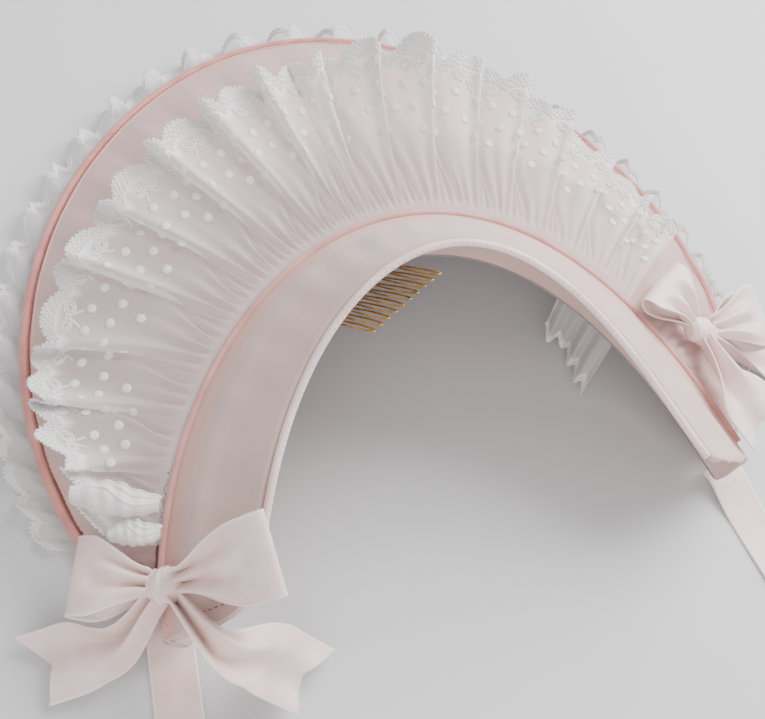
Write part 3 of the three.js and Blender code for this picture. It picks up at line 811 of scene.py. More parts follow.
def band_point(at, share, narrowing=1.0, along=0.0):
    """A point of the band: shares above 0 go up its front, below 0 down the part turned in."""
    at, share = np.broadcast_arrays(np.asarray(at, float), np.asarray(share, float))
    front = front_width(at) * narrowing
    rear = REAR_WIDTH * narrowing
    ridge = FOLD_RIDGE * np.exp(-(((share - RIDGE_SHARE) / RIDGE_SPREAD) ** 2))
    rise = math.radians(FRONT_RISE)
    fall = math.radians(REAR_RISE)
    ahead = np.maximum(share, 0)
    behind = np.minimum(share, 0)
    out = -front * ahead * math.cos(rise) + ridge * math.sin(rise) + rear * behind * math.cos(fall)
    up = front * ahead * math.sin(rise) + ridge * math.cos(rise) + rear * behind * math.sin(fall)
    return place(at, out, up, along)


def headband(materials):
    place_along, share = lattice(300, 44, (-1, 1), (-1, 1))
    side = np.abs(place_along)
    beyond = np.maximum(side - (1 - 2 * TAB_SHARE), 0) / (2 * TAB_SHARE)
    at = np.sign(place_along) * np.minimum(side / (1 - 2 * TAB_SHARE), 1)
    tab_length = np.where(at < 0, END_TAB_LEFT, END_TAB_RIGHT)
    grid = band_point(at, share, 1 - TAB_NARROWING * beyond**2, tab_length * np.sin(beyond * math.pi / 2))
    ease = np.sin(math.pi * np.clip(share, 0, 1)) * BAND_EASE
    grid = grid + UP * (ease * (np.sin(61 * at + 4 * share) + 0.6 * np.sin(23 * at - 7 * share)))[..., None]
    uv = grid_uv(grid)
    uv[..., 1] -= REAR_WIDTH
    band = cloth_sheet("headband", grid, uv, CLOTH, materials["lawn"])
    settle(band, ["headband"])
    declare_cloth(BAND_CUT)


def band_edge(reach):
    """The line that runs so far past the band's free edge."""
    at = np.linspace(-1, 1, 400)
    return band_point(at, 1 + reach / front_width(at))


def band_edging(materials):
    roll = round_cord("band_edging", band_edge(EDGING_RADIUS + GAP), EDGING_RADIUS, materials["satin"])
    line = band_edge(2 * EDGING_RADIUS + GAP)
    picots = beads("edging_picots", [line], *EDGING_PICOTS, materials["satin"])
    settle(joined("band_edging", [roll, picots]), ["band_edging"])


def brim(materials):
    at, share = lattice(520, 60, (-BRIM_SPAN, BRIM_SPAN))
    width, _, run = brim_section(at)
    start = CLOTH / 2 + GAP + BRIM_SEAM_EASE
    out = start + (run - start) * share
    turns = math.pi * (at + 1)
    wave = np.sin(GATHERS_ROUND_BRIM * turns) * np.sin(math.pi * share) ** 0.7 * GATHER_DEPTH
    uneven = FINE_GATHERS_ROUND_BRIM * turns + 2 * np.sin(9 * at)
    fine = np.sin(uneven) * np.exp(-2.5 * share) * FINE_GATHER_DEPTH * np.minimum(share * 12, 1)
    grid = place(at, out, brim_height(at, out) + (wave + fine) * np.minimum(1, width / 40))
    made = cloth_sheet("brim", grid, grid_uv(grid), CLOTH, materials["gathered lawn"])
    settle(made, ["brim"])
    declare_cloth(BRIM_CUT)


def rim_line(beyond, up=0.0):
    """The line that runs so far past the brim's rim and so far above it."""
    at = np.linspace(-BRIM_SPAN, BRIM_SPAN, 420)
    width, drop, run = brim_section(at)
    return place(at, run + beyond * run / width, -drop * (1 + beyond / width) + up)


def rim_piping(materials):
    cord = round_cord("rim_piping", rim_line(PIPING_RADIUS + 2 * GAP), PIPING_RADIUS, materials["binding"], 16)
    flange = cords("piping_flange", [rim_line(-0.7, CLOTH / 2 + 0.1)], 0.45, materials["pale binding"])
    sewn = stitches("piping_stitches", [rim_line(0.35, 1.35)], *PIPING_STITCHES, materials["dark thread"])
    settle(joined("rim_piping", [cord, flange, sewn]), ["rim_piping"])


def band_end_stitches(materials):
    """The machine line across the band's left end."""
    share = np.linspace(-0.75, 0.8, 60)
    inset = END_TAB_LEFT - END_STITCH_INSET
    narrowing = 1 - TAB_NARROWING * (inset / END_TAB_LEFT) ** 2
    line = band_point(np.full_like(share, -1.0), share, narrowing, inset) + UP * (CLOTH / 2 + 0.15)
    settle(stitches("band_end_stitches", [line], *BAND_END_STITCHES, materials["dark thread"]))


def seam_trim(materials):
    """The narrow peach welt between band and brim, and the stitches that hold the band to it."""
    at = np.linspace(-0.97, 0.97, 600)
    line = place(at, np.full_like(at, 0.95), np.full_like(at, CLOTH / 2 - 0.15))
    welt = round_cord("seam_welt", line, WELT_RADIUS, materials["pale binding"])
    line = place(at, np.full_like(at, -0.7), np.full_like(at, CLOTH / 2 + 0.3))
    length = bpy.context.scene.headdress_sizes.stitch / MM
    sizes = (SEAM_STITCH_SPACING, length, SEAM_STITCH_RADIUS)
    sewn = stitches("seam_stitches", [line], *sizes, materials["peach thread"])
    settle(joined("seam_trim", [welt, sewn]))


# Lace
def lace_value(column, at):
    """A column of the front lace's table, eased between its rows."""
    rows = np.array(LACE_LINE, float)
    known, values = rows[:, 0], rows[:, column]
    k = np.clip(np.searchsorted(known, at, side="right") - 1, 0, len(known) - 2)
    return values[k] + (values[k + 1] - values[k]) * smooth(0, 1, (at - known[k]) / (known[k + 1] - known[k]))


TURNS = len(FLUTES) - 1
HEADING_SHARE = 0.07


def flute_value(turn, column):
    """A column of the flutes' table between its rows, where turn counts the crests from 0."""
    return np.interp(turn, np.arange(len(FLUTES)), [float(row[column]) for row in FLUTES])


def front_lace(turn, share):
    """A place on the front lace: gathered at the seam, in flutes that fold over to one side.
    A share below 0 is its heading, which goes down into the seam."""
    turn, share = np.broadcast_arrays(np.asarray(turn, float), np.asarray(share, float))
    heading = smooth(0, HEADING_SHARE, -share)
    share = np.maximum(share, 0)
    crest = (1 + np.cos(2 * math.pi * turn)) / 2
    k = np.minimum(turn.astype(int), TURNS - 1)
    hems = np.array([float(row[1]) for row in FLUTES])
    half = (hems[k + 1] - hems[k]) / 2
    lean = FLUTE_LEAN * flute_value(turn, 3) * half * (crest - 1) * smooth(0, 0.45, share)
    at = flute_value(turn, 0) * (1 - share) + flute_value(turn, 1) * share + lean
    wide = lace_value(LACE_SHARE, at)
    reach = LACE_WIDTH * wide * share
    width, drop, run = brim_section(at)
    grown = LIFT_AT_SEAM + (1 - LIFT_AT_SEAM) * share
    tilt = np.arctan(-drop / run) + np.radians(lace_value(LACE_LIFT, at)) * grown
    out = HEADING_OFFSET + reach * np.cos(tilt)
    clear = CLOTH / 2 + GATHER_DEPTH + GAP + NET / 2 + SLACK
    flute = FLUTE_HEIGHT * flute_value(turn, 2) * wide * share**FLUTE_GROWTH * crest**0.8
    # Five fine gathers to a flute, soft folds midway down and waves along the hem, out of step with each other
    ripple = FINE_GATHER * np.sin(10 * math.pi * turn + 2 * share) * np.exp(-2.2 * share) * np.minimum(share * 14, 1)
    ripple = ripple + SOFT_FOLD * np.sin(6 * math.pi * turn + 0.8) * np.sin(math.pi * np.minimum(share, 1))
    ripple = ripple + HEM_WAVE * np.sin(7 * math.pi * turn + 1.3) * share
    ripple = ripple + SMALL_HEM_WAVE * np.sin(12.4 * turn + 3) * share
    floor = brim_height(at, np.minimum(out, run)) + clear
    lifted = brim_height(at, HEADING_OFFSET) + clear + reach * np.sin(tilt)
    up = np.maximum(lifted, floor) + flute + ripple
    out = out - FLUTE_PULL * flute
    return place(at, out + (1.25 - out) * heading, up + (CLOTH / 2 + 0.1 - up) * heading)


def measure_front():
    """The hem's own length, so that scallops and spots are evenly spaced on the cloth."""
    turn = np.linspace(0, TURNS, 4000)
    return turn, run_along(front_lace(turn, 0.9))


FRONT_TURN, FRONT_RUN = measure_front()
FRONT_LENGTH = FRONT_RUN[-1]
HEM_DEPTH = 3.8
HEM_ROWS = (0.3, 1.3, 2.3, 3.3)
HEM_THREAD = 0.34
PICOT_SPACING = 1.25
PICOT_RADIUS = 0.45
LACE_END_MARGIN = 3.0
# Rows of dots: distance from the hem, pitch in half scallops, and where in it the first dot lies
DOT_ROWS = [(13.0, 1, 0.5), (19.0, 1, 1.0), (25.0, 2, 0.75)]
DOT_HEIGHT = 0.3


def front_width_at(run):
    """The lace's own width at a place along the cloth."""
    return LACE_WIDTH * lace_value(LACE_SHARE, flute_value(np.interp(run, FRONT_RUN, FRONT_TURN), 1))


def front_place(run, from_hem):
    """A place on the front lace by its distance along the cloth and from the outermost line of the hem."""
    return front_lace(np.interp(run, FRONT_RUN, FRONT_TURN), 1 - from_hem / front_width_at(run))


def hem_inset(run):
    """How far the scalloped edge lies inside the hem's outermost line: round lobes with cusps between."""
    phase = np.abs(2 * np.mod(run / SCALLOP, 1) - 1)
    return HEM_DEPTH * phase**2.2


def cloth_normal(where, run, from_hem, step=0.2):
    """The upward normal of a lace."""
    across = where(run, from_hem + step) - where(run, from_hem - step)
    along = where(run + step, from_hem) - where(run - step, from_hem)
    normal = unit(np.cross(across, along))
    return normal * np.where(normal[..., 2:] < 0, -1, 1)


def front_net(materials):
    run, share = lattice(1100, 44, (0, FRONT_LENGTH), (-HEADING_SHARE, 1))
    wide = front_width_at(run)
    inset = np.minimum(hem_inset(run), 0.5 * wide)
    from_hem = wide - share * (wide - inset)
    uv = np.stack([run, from_hem - inset], -1)
    turn = np.interp(run, FRONT_RUN, FRONT_TURN)
    doubled = smooth(0.45, 0.95, (1 + np.cos(2 * math.pi * turn)) / 2) * smooth(0.15, 0.7, share)
    return net_sheet("front_ruffle", front_place(run, from_hem), uv, materials["front net"], doubled)


def front_embroidery(materials):
    """The worked edge: close zigzag cords along the scallops, and a small bow in each of them."""
    lines = []
    fine = np.arange(0, FRONT_LENGTH, 0.36)
    wide = front_width_at(fine)
    for row, depth in enumerate(HEM_ROWS):
        zigzag = 0.5 * np.sin(2 * math.pi * fine / 1.7 + math.pi * row)
        inset = np.minimum(hem_inset(fine), 0.5 * wide) * (1 - 0.06 * row) + depth + zigzag
        lines.append(front_place(fine, inset))
    turn = np.linspace(0, 2 * math.pi, 17)[:-1]
    for middle in np.arange(SCALLOP / 2, FRONT_LENGTH - LACE_END_MARGIN, SCALLOP):
        if front_width_at(middle) < 25:
            continue
        for side in (-1, 1):
            for size in (1.0, 0.55):
                along = middle + side * (2.5 + 1.9 * size * np.cos(turn))
                lines.append((front_place(along, 7.0 + 1.5 * size * np.sin(turn) - 0.35 * np.cos(turn)), True))
            tail = np.linspace(0, 1, 7)
            lines.append(front_place(middle + side * (0.3 + 2.3 * tail**1.3), 7.4 + 3.4 * tail))
        lines.append((front_place(middle + 0.6 * np.cos(turn), 7.1 + 0.6 * np.sin(turn)), True))
    return cords("front_cords", lines, HEM_THREAD, materials["lace thread"])


def front_spots(materials):
    runs, depths = [], []
    for row, (depth, halves, first) in enumerate(DOT_ROWS):
        pitch = SCALLOP / 2 * halves
        line = np.arange(pitch * first, FRONT_LENGTH - LACE_END_MARGIN, pitch)
        runs.append(line)
        depths.append(depth + 0.8 * np.sin(2.1 * line + row))
    run = np.concatenate(runs)
    depth = np.concatenate(depths)
    keep = front_width_at(run) - depth > 9
    run, depth = run[keep], depth[keep]
    facing = cloth_normal(front_place, run, depth)
    radius = bpy.context.scene.headdress_sizes.dot / MM / 2
    points = front_place(run, depth) + facing * 0.08
    return spots("front_spots", points, facing, radius, DOT_HEIGHT, materials["lace thread"])


def front_picots(materials):
    fine = np.arange(0, FRONT_LENGTH, 0.4)
    inset = np.minimum(hem_inset(fine), 0.5 * front_width_at(fine))
    line = front_place(fine, inset - 0.3)
    return beads("front_picots", [line], PICOT_SPACING, PICOT_RADIUS, materials["lace thread"])


def front_ruffle(materials):
    net = settle(front_net(materials), ["front_ruffle"])
    worked = joined("front_edge", [front_embroidery(materials), front_spots(materials), front_picots(materials)])
    settle(worked)
    declare_cloth(FRONT_LACE_CUT)


def back_lace(at, share):
    at, share = np.broadcast_arrays(np.asarray(at, float), np.asarray(share, float))
    width, drop, run = brim_section(at)
    pleat = np.sin(math.pi * PLEAT_COUNT * (at + 1))
    small = np.sin(SMALL_PLEATS_EACH * math.pi * PLEAT_COUNT * (at + 1) + 2 * share)
    rest = NET / 2 - 0.05 - seam_height(at)
    below = CLOTH / 2 + GATHER_DEPTH + NET / 2 + GAP + SLACK
    under = run - BACK_LACE_TUCK
    inner = np.minimum(share / LACE_UNDER_SHARE, 1)
    outer = np.maximum(share - LACE_UNDER_SHARE, 0) / (1 - LACE_UNDER_SHARE)
    past = BACK_LACE_REACH + (BACK_LACE_REACH_RIGHT - BACK_LACE_REACH) * smooth(0.1, 0.5, at) + 2 * BACK_LACE_TUCK
    out = BACK_HEADING_OFFSET + (under - BACK_HEADING_OFFSET) * inner + past * outer
    hang = brim_height(at, np.minimum(out, under)) - below
    sag = BACK_LACE_SAG * smooth(0.4, 0.52, np.abs(at)) * smooth(0, 0.33, share)
    settled = np.maximum(sag, smooth(0.45, LACE_UNDER_SHARE, share))
    edge = smooth(LACE_UNDER_SHARE, 1, share)
    raised = BACK_LACE_LIFT * (1 - smooth(0.45, 0.8, np.abs(at + 0.1)))
    lift = (raised + PLEAT_DEPTH) * (pleat + 1) / 2 * edge
    lift = lift + SMALL_PLEAT_DEPTH * (small + 1) / 2 * (0.3 + 0.7 * edge)
    return place(at, out, hang + (rest - hang) * settled + lift)


def measure_back():
    at = np.linspace(-BACK_LACE_SPAN, BACK_LACE_SPAN, 3000)
    return at, run_along(back_lace(at, 0.95))


BACK_AT, BACK_RUN = measure_back()
BACK_LENGTH = BACK_RUN[-1]
BACK_SCALLOP = 10.5
BACK_HEM_DEPTH = 3.2
BACK_PICOTS = (1.3, 0.42)
BACK_THREAD = 0.26
BACK_EDGE_WIDTH = BACK_LACE_REACH + 2 * BACK_LACE_TUCK


def back_place(run, from_hem):
    """A place on the back lace by its distance along the cloth and from the hem's outermost line."""
    at = np.interp(run, BACK_RUN, BACK_AT)
    return back_lace(at, 1 - from_hem * (1 - LACE_UNDER_SHARE) / BACK_EDGE_WIDTH)


def back_inset(run):
    """How far the back lace's small scallops lie inside the hem's outermost line."""
    return BACK_HEM_DEPTH * (1 - np.abs(np.sin(math.pi * run / BACK_SCALLOP)) ** 0.7)


def back_ruffle(materials):
    run, share = lattice(1300, 40, (0, BACK_LENGTH))
    full = BACK_EDGE_WIDTH / (1 - LACE_UNDER_SHARE)
    from_hem = full - share * (full - back_inset(run))
    grid = back_place(run, from_hem)
    steps = np.linalg.norm(np.diff(grid, axis=1), axis=-1)
    depth = np.concatenate([np.zeros((len(steps), 1)), np.cumsum(steps[:, ::-1], axis=1)], axis=1)[:, ::-1]
    net = net_sheet("back_ruffle", grid, np.stack([run, depth], -1), materials["back net"])
    settle(net, ["back_ruffle"])
    fine = np.arange(0, BACK_LENGTH, 0.45)
    lines = [back_place(fine, back_inset(fine) + depth) for depth in (0.2, 1.7)]
    zigzag = back_inset(fine) + 0.95 + 0.6 * np.sin(2 * math.pi * fine / 1.6)
    lines.append(back_place(fine, zigzag))
    worked = cords("back_cords", lines, BACK_THREAD, materials["lace thread"])
    line = back_place(fine, back_inset(fine) - 0.3)
    picots = beads("back_picots", [line], *BACK_PICOTS, materials["lace thread"])
    edge = settle(joined("back_edge", [worked, picots]))
    declare_cloth(BACK_LACE_CUT)


def edged_net(name, edge_name, grid, slot, net, thread, picots, doubled=None):
    """A loose piece of net whose last line is its worked edge. Thread gives the cords' radius and the
    lines that they follow, picots their spacing and radius. Gives back the net and its edge."""
    material, lace_thread = net
    uv = grid_uv(grid)
    uv[..., 1] = uv[..., 1].max() - uv[..., 1]
    made = settle(net_sheet(name, grid, uv, material, doubled))
    radius, lines = thread
    worked = cords(f"{edge_name}_cords", [grid[:, line] for line in lines], radius, lace_thread)
    knots = beads(f"{edge_name}_picots", [grid[:, -1]], *picots, lace_thread)
    return made, settle(joined(edge_name, [worked, knots]))


def rolled_end(materials):
    """The front lace's left end, turned in and rolled into two petals above the bow."""
    net = (materials["front net"], materials["lace thread"])
    for k, (first, last, radius, turns) in enumerate(ROLLED_PETALS):
        first, last = np.array(first), np.array(last)
        axis = unit(last - first)
        side = unit(np.cross(axis, UP))
        over = np.cross(side, axis)
        u, v = lattice(90, 60)
        angle = 2 * math.pi * turns * v + 0.7 + 0.5 * np.sin(2 * math.pi * u)
        size = radius * np.sin(math.pi * (0.08 + 0.84 * u)) ** 0.6 * (0.5 + 0.5 * v)
        size = size * (1 + 0.07 * np.sin(31 * u + 9 * v))
        middle = first + (last - first) * u[..., None]
        grid = middle + side * (size * np.cos(angle))[..., None] + over * (0.75 * size * np.sin(angle))[..., None]
        names = (f"rolled_lace_{k + 1}", f"rolled_edge_{k + 1}")
        doubled = np.full(grid.shape[:2], 0.6)
        picots = (PICOT_SPACING, PICOT_RADIUS)
        made, edge = edged_net(*names, grid, "lace", net, (0.36, (-1, -4, -8)), picots, doubled)
        declare_cloth(ROLLED_CUTS[k])


def loose_end(materials):
    """The back lace's right end: it hangs from the seam to the table, and shows through the arch."""
    u, v = lattice(70, 60)
    at = 0.45 + 0.17 * u
    top = seam_height(at) - 3
    drop = np.minimum(top - 1.8, LOOSE_END_DEPTH - 0.5)
    inwards = np.sqrt(LOOSE_END_DEPTH**2 - drop**2) + 1.4 * np.abs(np.sin(3 * math.pi * u))
    out = 3 - inwards * v + 1.7 * np.sin(9 * math.pi * u + 1.5 * v) * v
    rise = top - drop * (1 - (1 - v) ** 1.25) + 0.7 * (1 + np.sin(7 * math.pi * u + 2 * v)) * v
    grid = place(at, out, rise - seam_height(at))
    net = (materials["back net"], materials["lace thread"])
    names = ("back_lace_end", "back_lace_end_edge")
    made, edge = edged_net(*names, grid, "tulle", net, (0.3, (-1, -4)), BACK_PICOTS)
    declare_cloth(LOOSE_END_CUT)


# Comb
def comb(materials):
    half = COMB_LOOPS * COMB_PITCH / 2
    share = half / (SEAM_HALF_WIDTH * math.radians(END_TURN))
    edge = float(front_width(COMB_STATION))
    seat = (edge + 2 * EDGING_RADIUS + COMB_OVERHANG - COMB_TOOTH) / edge
    left = band_point(COMB_STATION - share, seat)
    right = band_point(COMB_STATION + share, seat)
    bar = unit(right - left)
    teeth = unit(band_point(COMB_STATION, 1) - band_point(COMB_STATION, 0))
    below = unit(np.cross(bar, teeth))
    below = -below if below[2] > 0 else below
    start = (left + right) / 2 + below * (CLOTH / 2 + FOLD_RIDGE + COMB_BAR + GAP + COMB_LOOP_DEPTH)
    wound = 2 * math.pi * np.linspace(0, COMB_LOOPS, 28 * COMB_LOOPS + 1)
    reach = COMB_TOOTH * (1 - np.cos(wound)) / 2
    sideways = COMB_PITCH * wound / (2 * math.pi) - half + COMB_LOOP_OPENING * np.sin(wound)
    deep = COMB_LOOP_DEPTH * np.sin(wound)
    wire = start + bar * sideways[:, None] + teeth * reach[:, None] + below * deep[:, None]
    turns = np.linspace(0, 1, 24 * COMB_LOOPS + 1)
    angle = 2 * math.pi * COIL_TURNS_PER_LOOP * COMB_LOOPS * turns
    coil = start + bar * ((2 * turns - 1) * (half + 0.6))[:, None]
    coil = coil + (below * np.cos(angle)[:, None] + teeth * np.sin(angle)[:, None]) * COIL_RADIUS
    loops = cords("comb", [wire], COMB_WIRE, materials["brass"])
    binding = cords("comb_bar", [coil], COIL_WIRE, materials["brass"])
    settle(joined("comb", [loops, binding]), ["comb"])


# Bows and ties
def bow_spot(bow, row):
    """A point of a bow, from shares of the ribbon width."""
    along, out, up = (BOW_RIBBON_WIDTH * x for x in row)
    return place(bow["station"], out, up, along)


def bow_direction(bow, row):
    _, out, along = station(bow["station"])
    return unit(along * row[0] + out * row[1] + UP * row[2])


def knot_of(bow):
    """The knot's middle and its directions: from loop to loop, outwards and across."""
    centre = bow_spot(bow, bow["knot"])
    first, second = (bow_spot(bow, loop["tip"]) for loop in bow["loops"])
    axis = unit(second - first)
    face = unit(UP - axis * axis[2])
    return centre, axis, face, np.cross(axis, face)


def beside_knot(bow, spot):
    """Where a ribbon that goes to a spot comes out of the knot, a little inside its surface."""
    centre, axis, face, across = knot_of(bow)
    heading = unit(spot - centre)
    half = (KNOT_LENGTH / 2, KNOT_THICKNESS / 2, KNOT_WIDTH / 2)
    parts = [float(heading @ side) / size for side, size in zip((axis, face, across), half)]
    return centre + heading * (1 / math.hypot(*parts) - 1.2)


def ribbon_uv(grid, v, width):
    """Millimetres along a ribbon, and from its nearer edge."""
    uv = grid_uv(grid)
    uv[..., 1] = np.minimum(v, 1 - v) * width
    return uv


def gathers(half, v, count):
    """Folds that take up the ribbon's full width where it is drawn in to twice half, as a knot does:
    the narrower it is drawn, the deeper they are, so that no cloth is lost."""
    drawn = BOW_RIBBON_WIDTH / (2 * half)
    depth = 2 * half / (4 * count) * np.sqrt(np.maximum(drawn**2 - 1, 0))
    return FOLD_EASE * depth * np.cos(2 * math.pi * count * v)


def bow_loop(bow, loop, materials):
    tip = bow_spot(bow, loop["tip"])
    root = beside_knot(bow, tip)
    across = bow_direction(bow, loop["across"])
    length = float(np.linalg.norm(tip - root))
    axis = (tip - root) / length
    face = unit(np.cross(axis, across))
    face = -face if face[2] < 0 else face
    opened = 2 * math.pi * LOOP_MOUTH
    u, v = lattice(90, 41)
    turn = opened + 2 * (math.pi - opened) * u
    reach = (math.cos(opened) - np.cos(turn)) / (math.cos(opened) + 1)
    half = BOW_RIBBON_WIDTH / 2 * (LOOP_ROOT_SHARE + (1 - LOOP_ROOT_SHARE) * smooth(0, 0.8, reach))
    puff = LOOP_PUFF * np.sin(turn) * (0.45 + 0.55 * smooth(0, 0.5, reach))
    crease = 1 - 0.35 * np.cos(math.pi * (2 * v - 1) / 2) * (1 - reach)
    folds = gathers(half, v, LOOP_FOLDS)
    grid = root + axis * (length * reach)[..., None] + across * (half * (2 * v - 1))[..., None]
    grid = grid + face * (puff * crease + folds)[..., None]
    name = f"{bow['name']}_loop_{loop['name']}"
    made = cloth_sheet(name, grid, ribbon_uv(grid, v, BOW_RIBBON_WIDTH), RIBBON, materials["satin"])
    settle(made, [name])
    cut = (BOW_RIBBON_WIDTH, LOOP_CUTS[bow["name"]][loop["name"]], None)
    declare_cloth(cut)


def bow_knot(bow, materials):
    """Ribbon wound round the middle of the bow, creased as it is pulled tight."""
    centre, axis, face, across = knot_of(bow)
    u, v = lattice(73, 31, (0, 2 * math.pi), (-1, 1))
    u, v = u[:-1], v[:-1]
    u = np.concatenate([u, u[:1]])
    v = np.concatenate([v, v[:1]])
    barrel = np.sqrt(np.maximum(1 - 0.42 * v**2, 0))
    closing = np.sqrt(np.maximum(1 - np.abs(v) ** 8, 0))
    creases = KNOT_CREASE * np.sin(9 * v + 1.5 * np.sin(u)) + KNOT_FINE_CREASE * np.sin(17 * v - 2 * u)
    radius = barrel * closing * (1 + creases)
    over = KNOT_THICKNESS / 2 * radius * np.cos(u)
    wide = KNOT_WIDTH / 2 * radius * np.sin(u)
    along = KNOT_LENGTH / 2 * 0.92 * v + 0.5 * np.sin(u)
    grid = centre + axis * along[..., None] + face * over[..., None] + across * wide[..., None]
    faces, _ = grid_faces(*grid.shape[:2])
    name = f"{bow['name']}_knot"
    made = mesh_object(name, grid, faces[:, ::-1].tolist(), materials["satin"], grid_uv(grid))
    settle(made, [name])


def bow_tail(bow, tail, materials):
    spots_on = [bow_spot(bow, spot) for spot in tail["path"]]
    path = catmull([beside_knot(bow, spots_on[0]), *spots_on], 80)
    heading = unit(np.gradient(path, axis=0))
    across = bow_direction(bow, tail["across"])
    u, v = lattice(80, 33)
    notch = TAIL_NOTCH * (1 - np.abs(2 * v - 1)) * smooth(0.7, 1, u)
    widened = TAIL_ROOT_SHARE + (TAIL_END_SHARE - TAIL_ROOT_SHARE) * smooth(0, 0.62, u)
    half = BOW_RIBBON_WIDTH / 2 * widened
    face = unit(np.cross(heading, across))
    folds = gathers(half, v, TAIL_FOLDS)
    cup = 0.8 * (2 * v - 1) ** 2 * smooth(0.2, 0.8, u)
    grid = path[:, None] - heading[:, None] * notch[..., None] + across * (half * (2 * v - 1))[..., None]
    grid = grid + face[:, None] * (folds + cup - 0.3)[..., None]
    grid[..., 2] = np.maximum(grid[..., 2], RIBBON)
    name = f"{bow['name']}_tail_{tail['name']}"
    made = cloth_sheet(name, grid, ribbon_uv(grid, v, BOW_RIBBON_WIDTH), RIBBON, materials["satin"])
    settle(made, [name])
    cut = (BOW_RIBBON_WIDTH, TAIL_CUTS[bow["name"]][tail["name"]], None)
    declare_cloth(cut)


def tie(row, materials):
    under = REAR_WIDTH * math.sin(math.radians(REAR_RISE))
    root_height = END_HEIGHT - under - CLOTH / 2 - GAP - TIE_SEWN_DEPTH
    points = []
    for k, (sway, forward) in enumerate(zip(row["sway"], TIE_FORWARD)):
        height = (root_height, root_height, TIE_LEVEL)[min(k, 2)]
        points.append(place(row["end"], sway * TIE_WIDTH, height - END_HEIGHT, forward * row["length"]))
    path = catmull(points, 70)
    level = RIBBON / 2 + 0.05
    path[:, 2] = np.maximum(np.where(np.linspace(0, 1, 70) > 0.5, level, path[:, 2]), level)
    across = unit(np.cross(np.gradient(path, axis=0), UP))
    u, v = lattice(70, 21)
    ripple = TIE_RIPPLE * (1 + np.sin(5 * u + 2.2 * v)) * smooth(0.3, 0.8, u) * (0.3 + 0.7 * (2 * v - 1) ** 2)
    grid = path[:, None] + across[:, None] * (TIE_WIDTH / 2 * (2 * v - 1))[..., None] + UP * ripple[..., None]
    made = cloth_sheet(row["name"], grid, ribbon_uv(grid, v, TIE_WIDTH), RIBBON, materials["satin"])
    settle(made, [row["name"]])
    declare_cloth((TIE_WIDTH, TIE_CUTS[row["name"]], None))


# Stage: a pale table, soft light from the upper right, and the photograph's camera
CAMERA_PLACE = (-85.06, -64.61, 265.22)
CAMERA_RIGHT = (0.94324, -0.31154, 0.11506)
CAMERA_UP = (0.20808, 0.82439, 0.52639)
CAMERA_FORWARD = (0.25885, 0.47257, -0.84242)
CAMERA_FOCAL_PIXELS = 1042.15
PHOTO_WIDTH = 765
TABLE_HALF = 1.5
ROOM_STRENGTH = 0.87
# Lights: name, place and target in metres, width in metres, watts and colour
LIGHTS = [
    ("window", (0.64, 0.24, 0.55), (0.07, 0.01, 0.02), 0.8, 18, "#FFFFFF"),
    ("fill", (-0.35, -0.75, 0.5), (0, 0, 0.02), 1.0, 4.5, "#FFF9F6"),
]


def camera():
    data = bpy.data.cameras.new("camera")
    data.sensor_fit = "HORIZONTAL"
    data.sensor_width = 36.0
    data.lens = CAMERA_FOCAL_PIXELS / PHOTO_WIDTH * data.sensor_width
    data.clip_start = 0.01
    obj = placed("camera", data)
    turn = Matrix((CAMERA_RIGHT, CAMERA_UP, [-x for x in CAMERA_FORWARD])).transposed()
    obj.matrix_world = Matrix.Translation(Vector((np.array(CAMERA_PLACE) + SHIFT) * MM)) @ turn.to_4x4()
    bpy.context.scene.camera = obj


def table_top(name, colour):
    """Painted table top: smooth and matt, with only a faint unevenness of tone."""
    material, tree, shader = surface(name)
    place_in = add(tree, "ShaderNodeTexCoord").outputs["Object"]
    uneven = noise(tree, place_in, 60 * MM, 2.0)
    base = mix(tree, share_of(tree, uneven, 0.12), linear(colour), linear("#B9BCC4"))
    set_inputs(tree, shader, {"Base Color": base, "Roughness": 0.62, "Specular IOR Level": 0.35})
    return material


def soft_light(name, place_at, target, size, watts, colour):
    data = bpy.data.lights.new(name, "AREA")
    data.shape = "DISK"
    data.size = size
    data.energy = watts
    data.color = linear(colour)[:3]
    obj = placed(name, data)
    obj.location = place_at
    obj.rotation_euler = (Vector(target) - Vector(place_at)).to_track_quat("-Z", "Y").to_euler()


def stage(table_colour, strength):
    half = TABLE_HALF
    mesh = bpy.data.meshes.new("table")
    corners = [(-half, -half, 0), (half, -half, 0), (half, half, 0), (-half, half, 0)]
    mesh.from_pydata(corners, [], [(0, 1, 2, 3)])
    mesh.materials.append(table_top("painted table", table_colour))
    floor = placed("table", mesh)
    world = bpy.data.worlds.new("studio")
    world.use_nodes = True
    background = world.node_tree.nodes["Background"]
    background.inputs["Color"].default_value = linear("#F2F2F3")
    background.inputs["Strength"].default_value = ROOM_STRENGTH * strength
    bpy.context.scene.world = world
    for name, place_at, target, size, watts, colour in LIGHTS:
        soft_light(name, place_at, target, size, watts * strength, colour)
    camera()


# Add-on
def colour_setting(name, description, hex_colour):
    return bpy.props.FloatVectorProperty(
        name=name, description=description, subtype="COLOR", min=0, max=1, default=linear(hex_colour)[:3]
    )


def length_setting(name, description, usual, least, most):
    """A length that is given here in millimetres."""
    return bpy.props.FloatProperty(
        name=name, description=description, subtype="DISTANCE", unit="LENGTH",
        default=usual * MM, min=least * MM, max=most * MM,
    )


def hex_of(colour):
    """The sRGB hex of a colour property."""
    values = [12.92 * v if v <= 0.0031308 else 1.055 * v ** (1 / 2.4) - 0.055 for v in colour]
    return "#" + "".join(f"{round(255 * min(max(v, 0), 1)):02x}" for v in values)


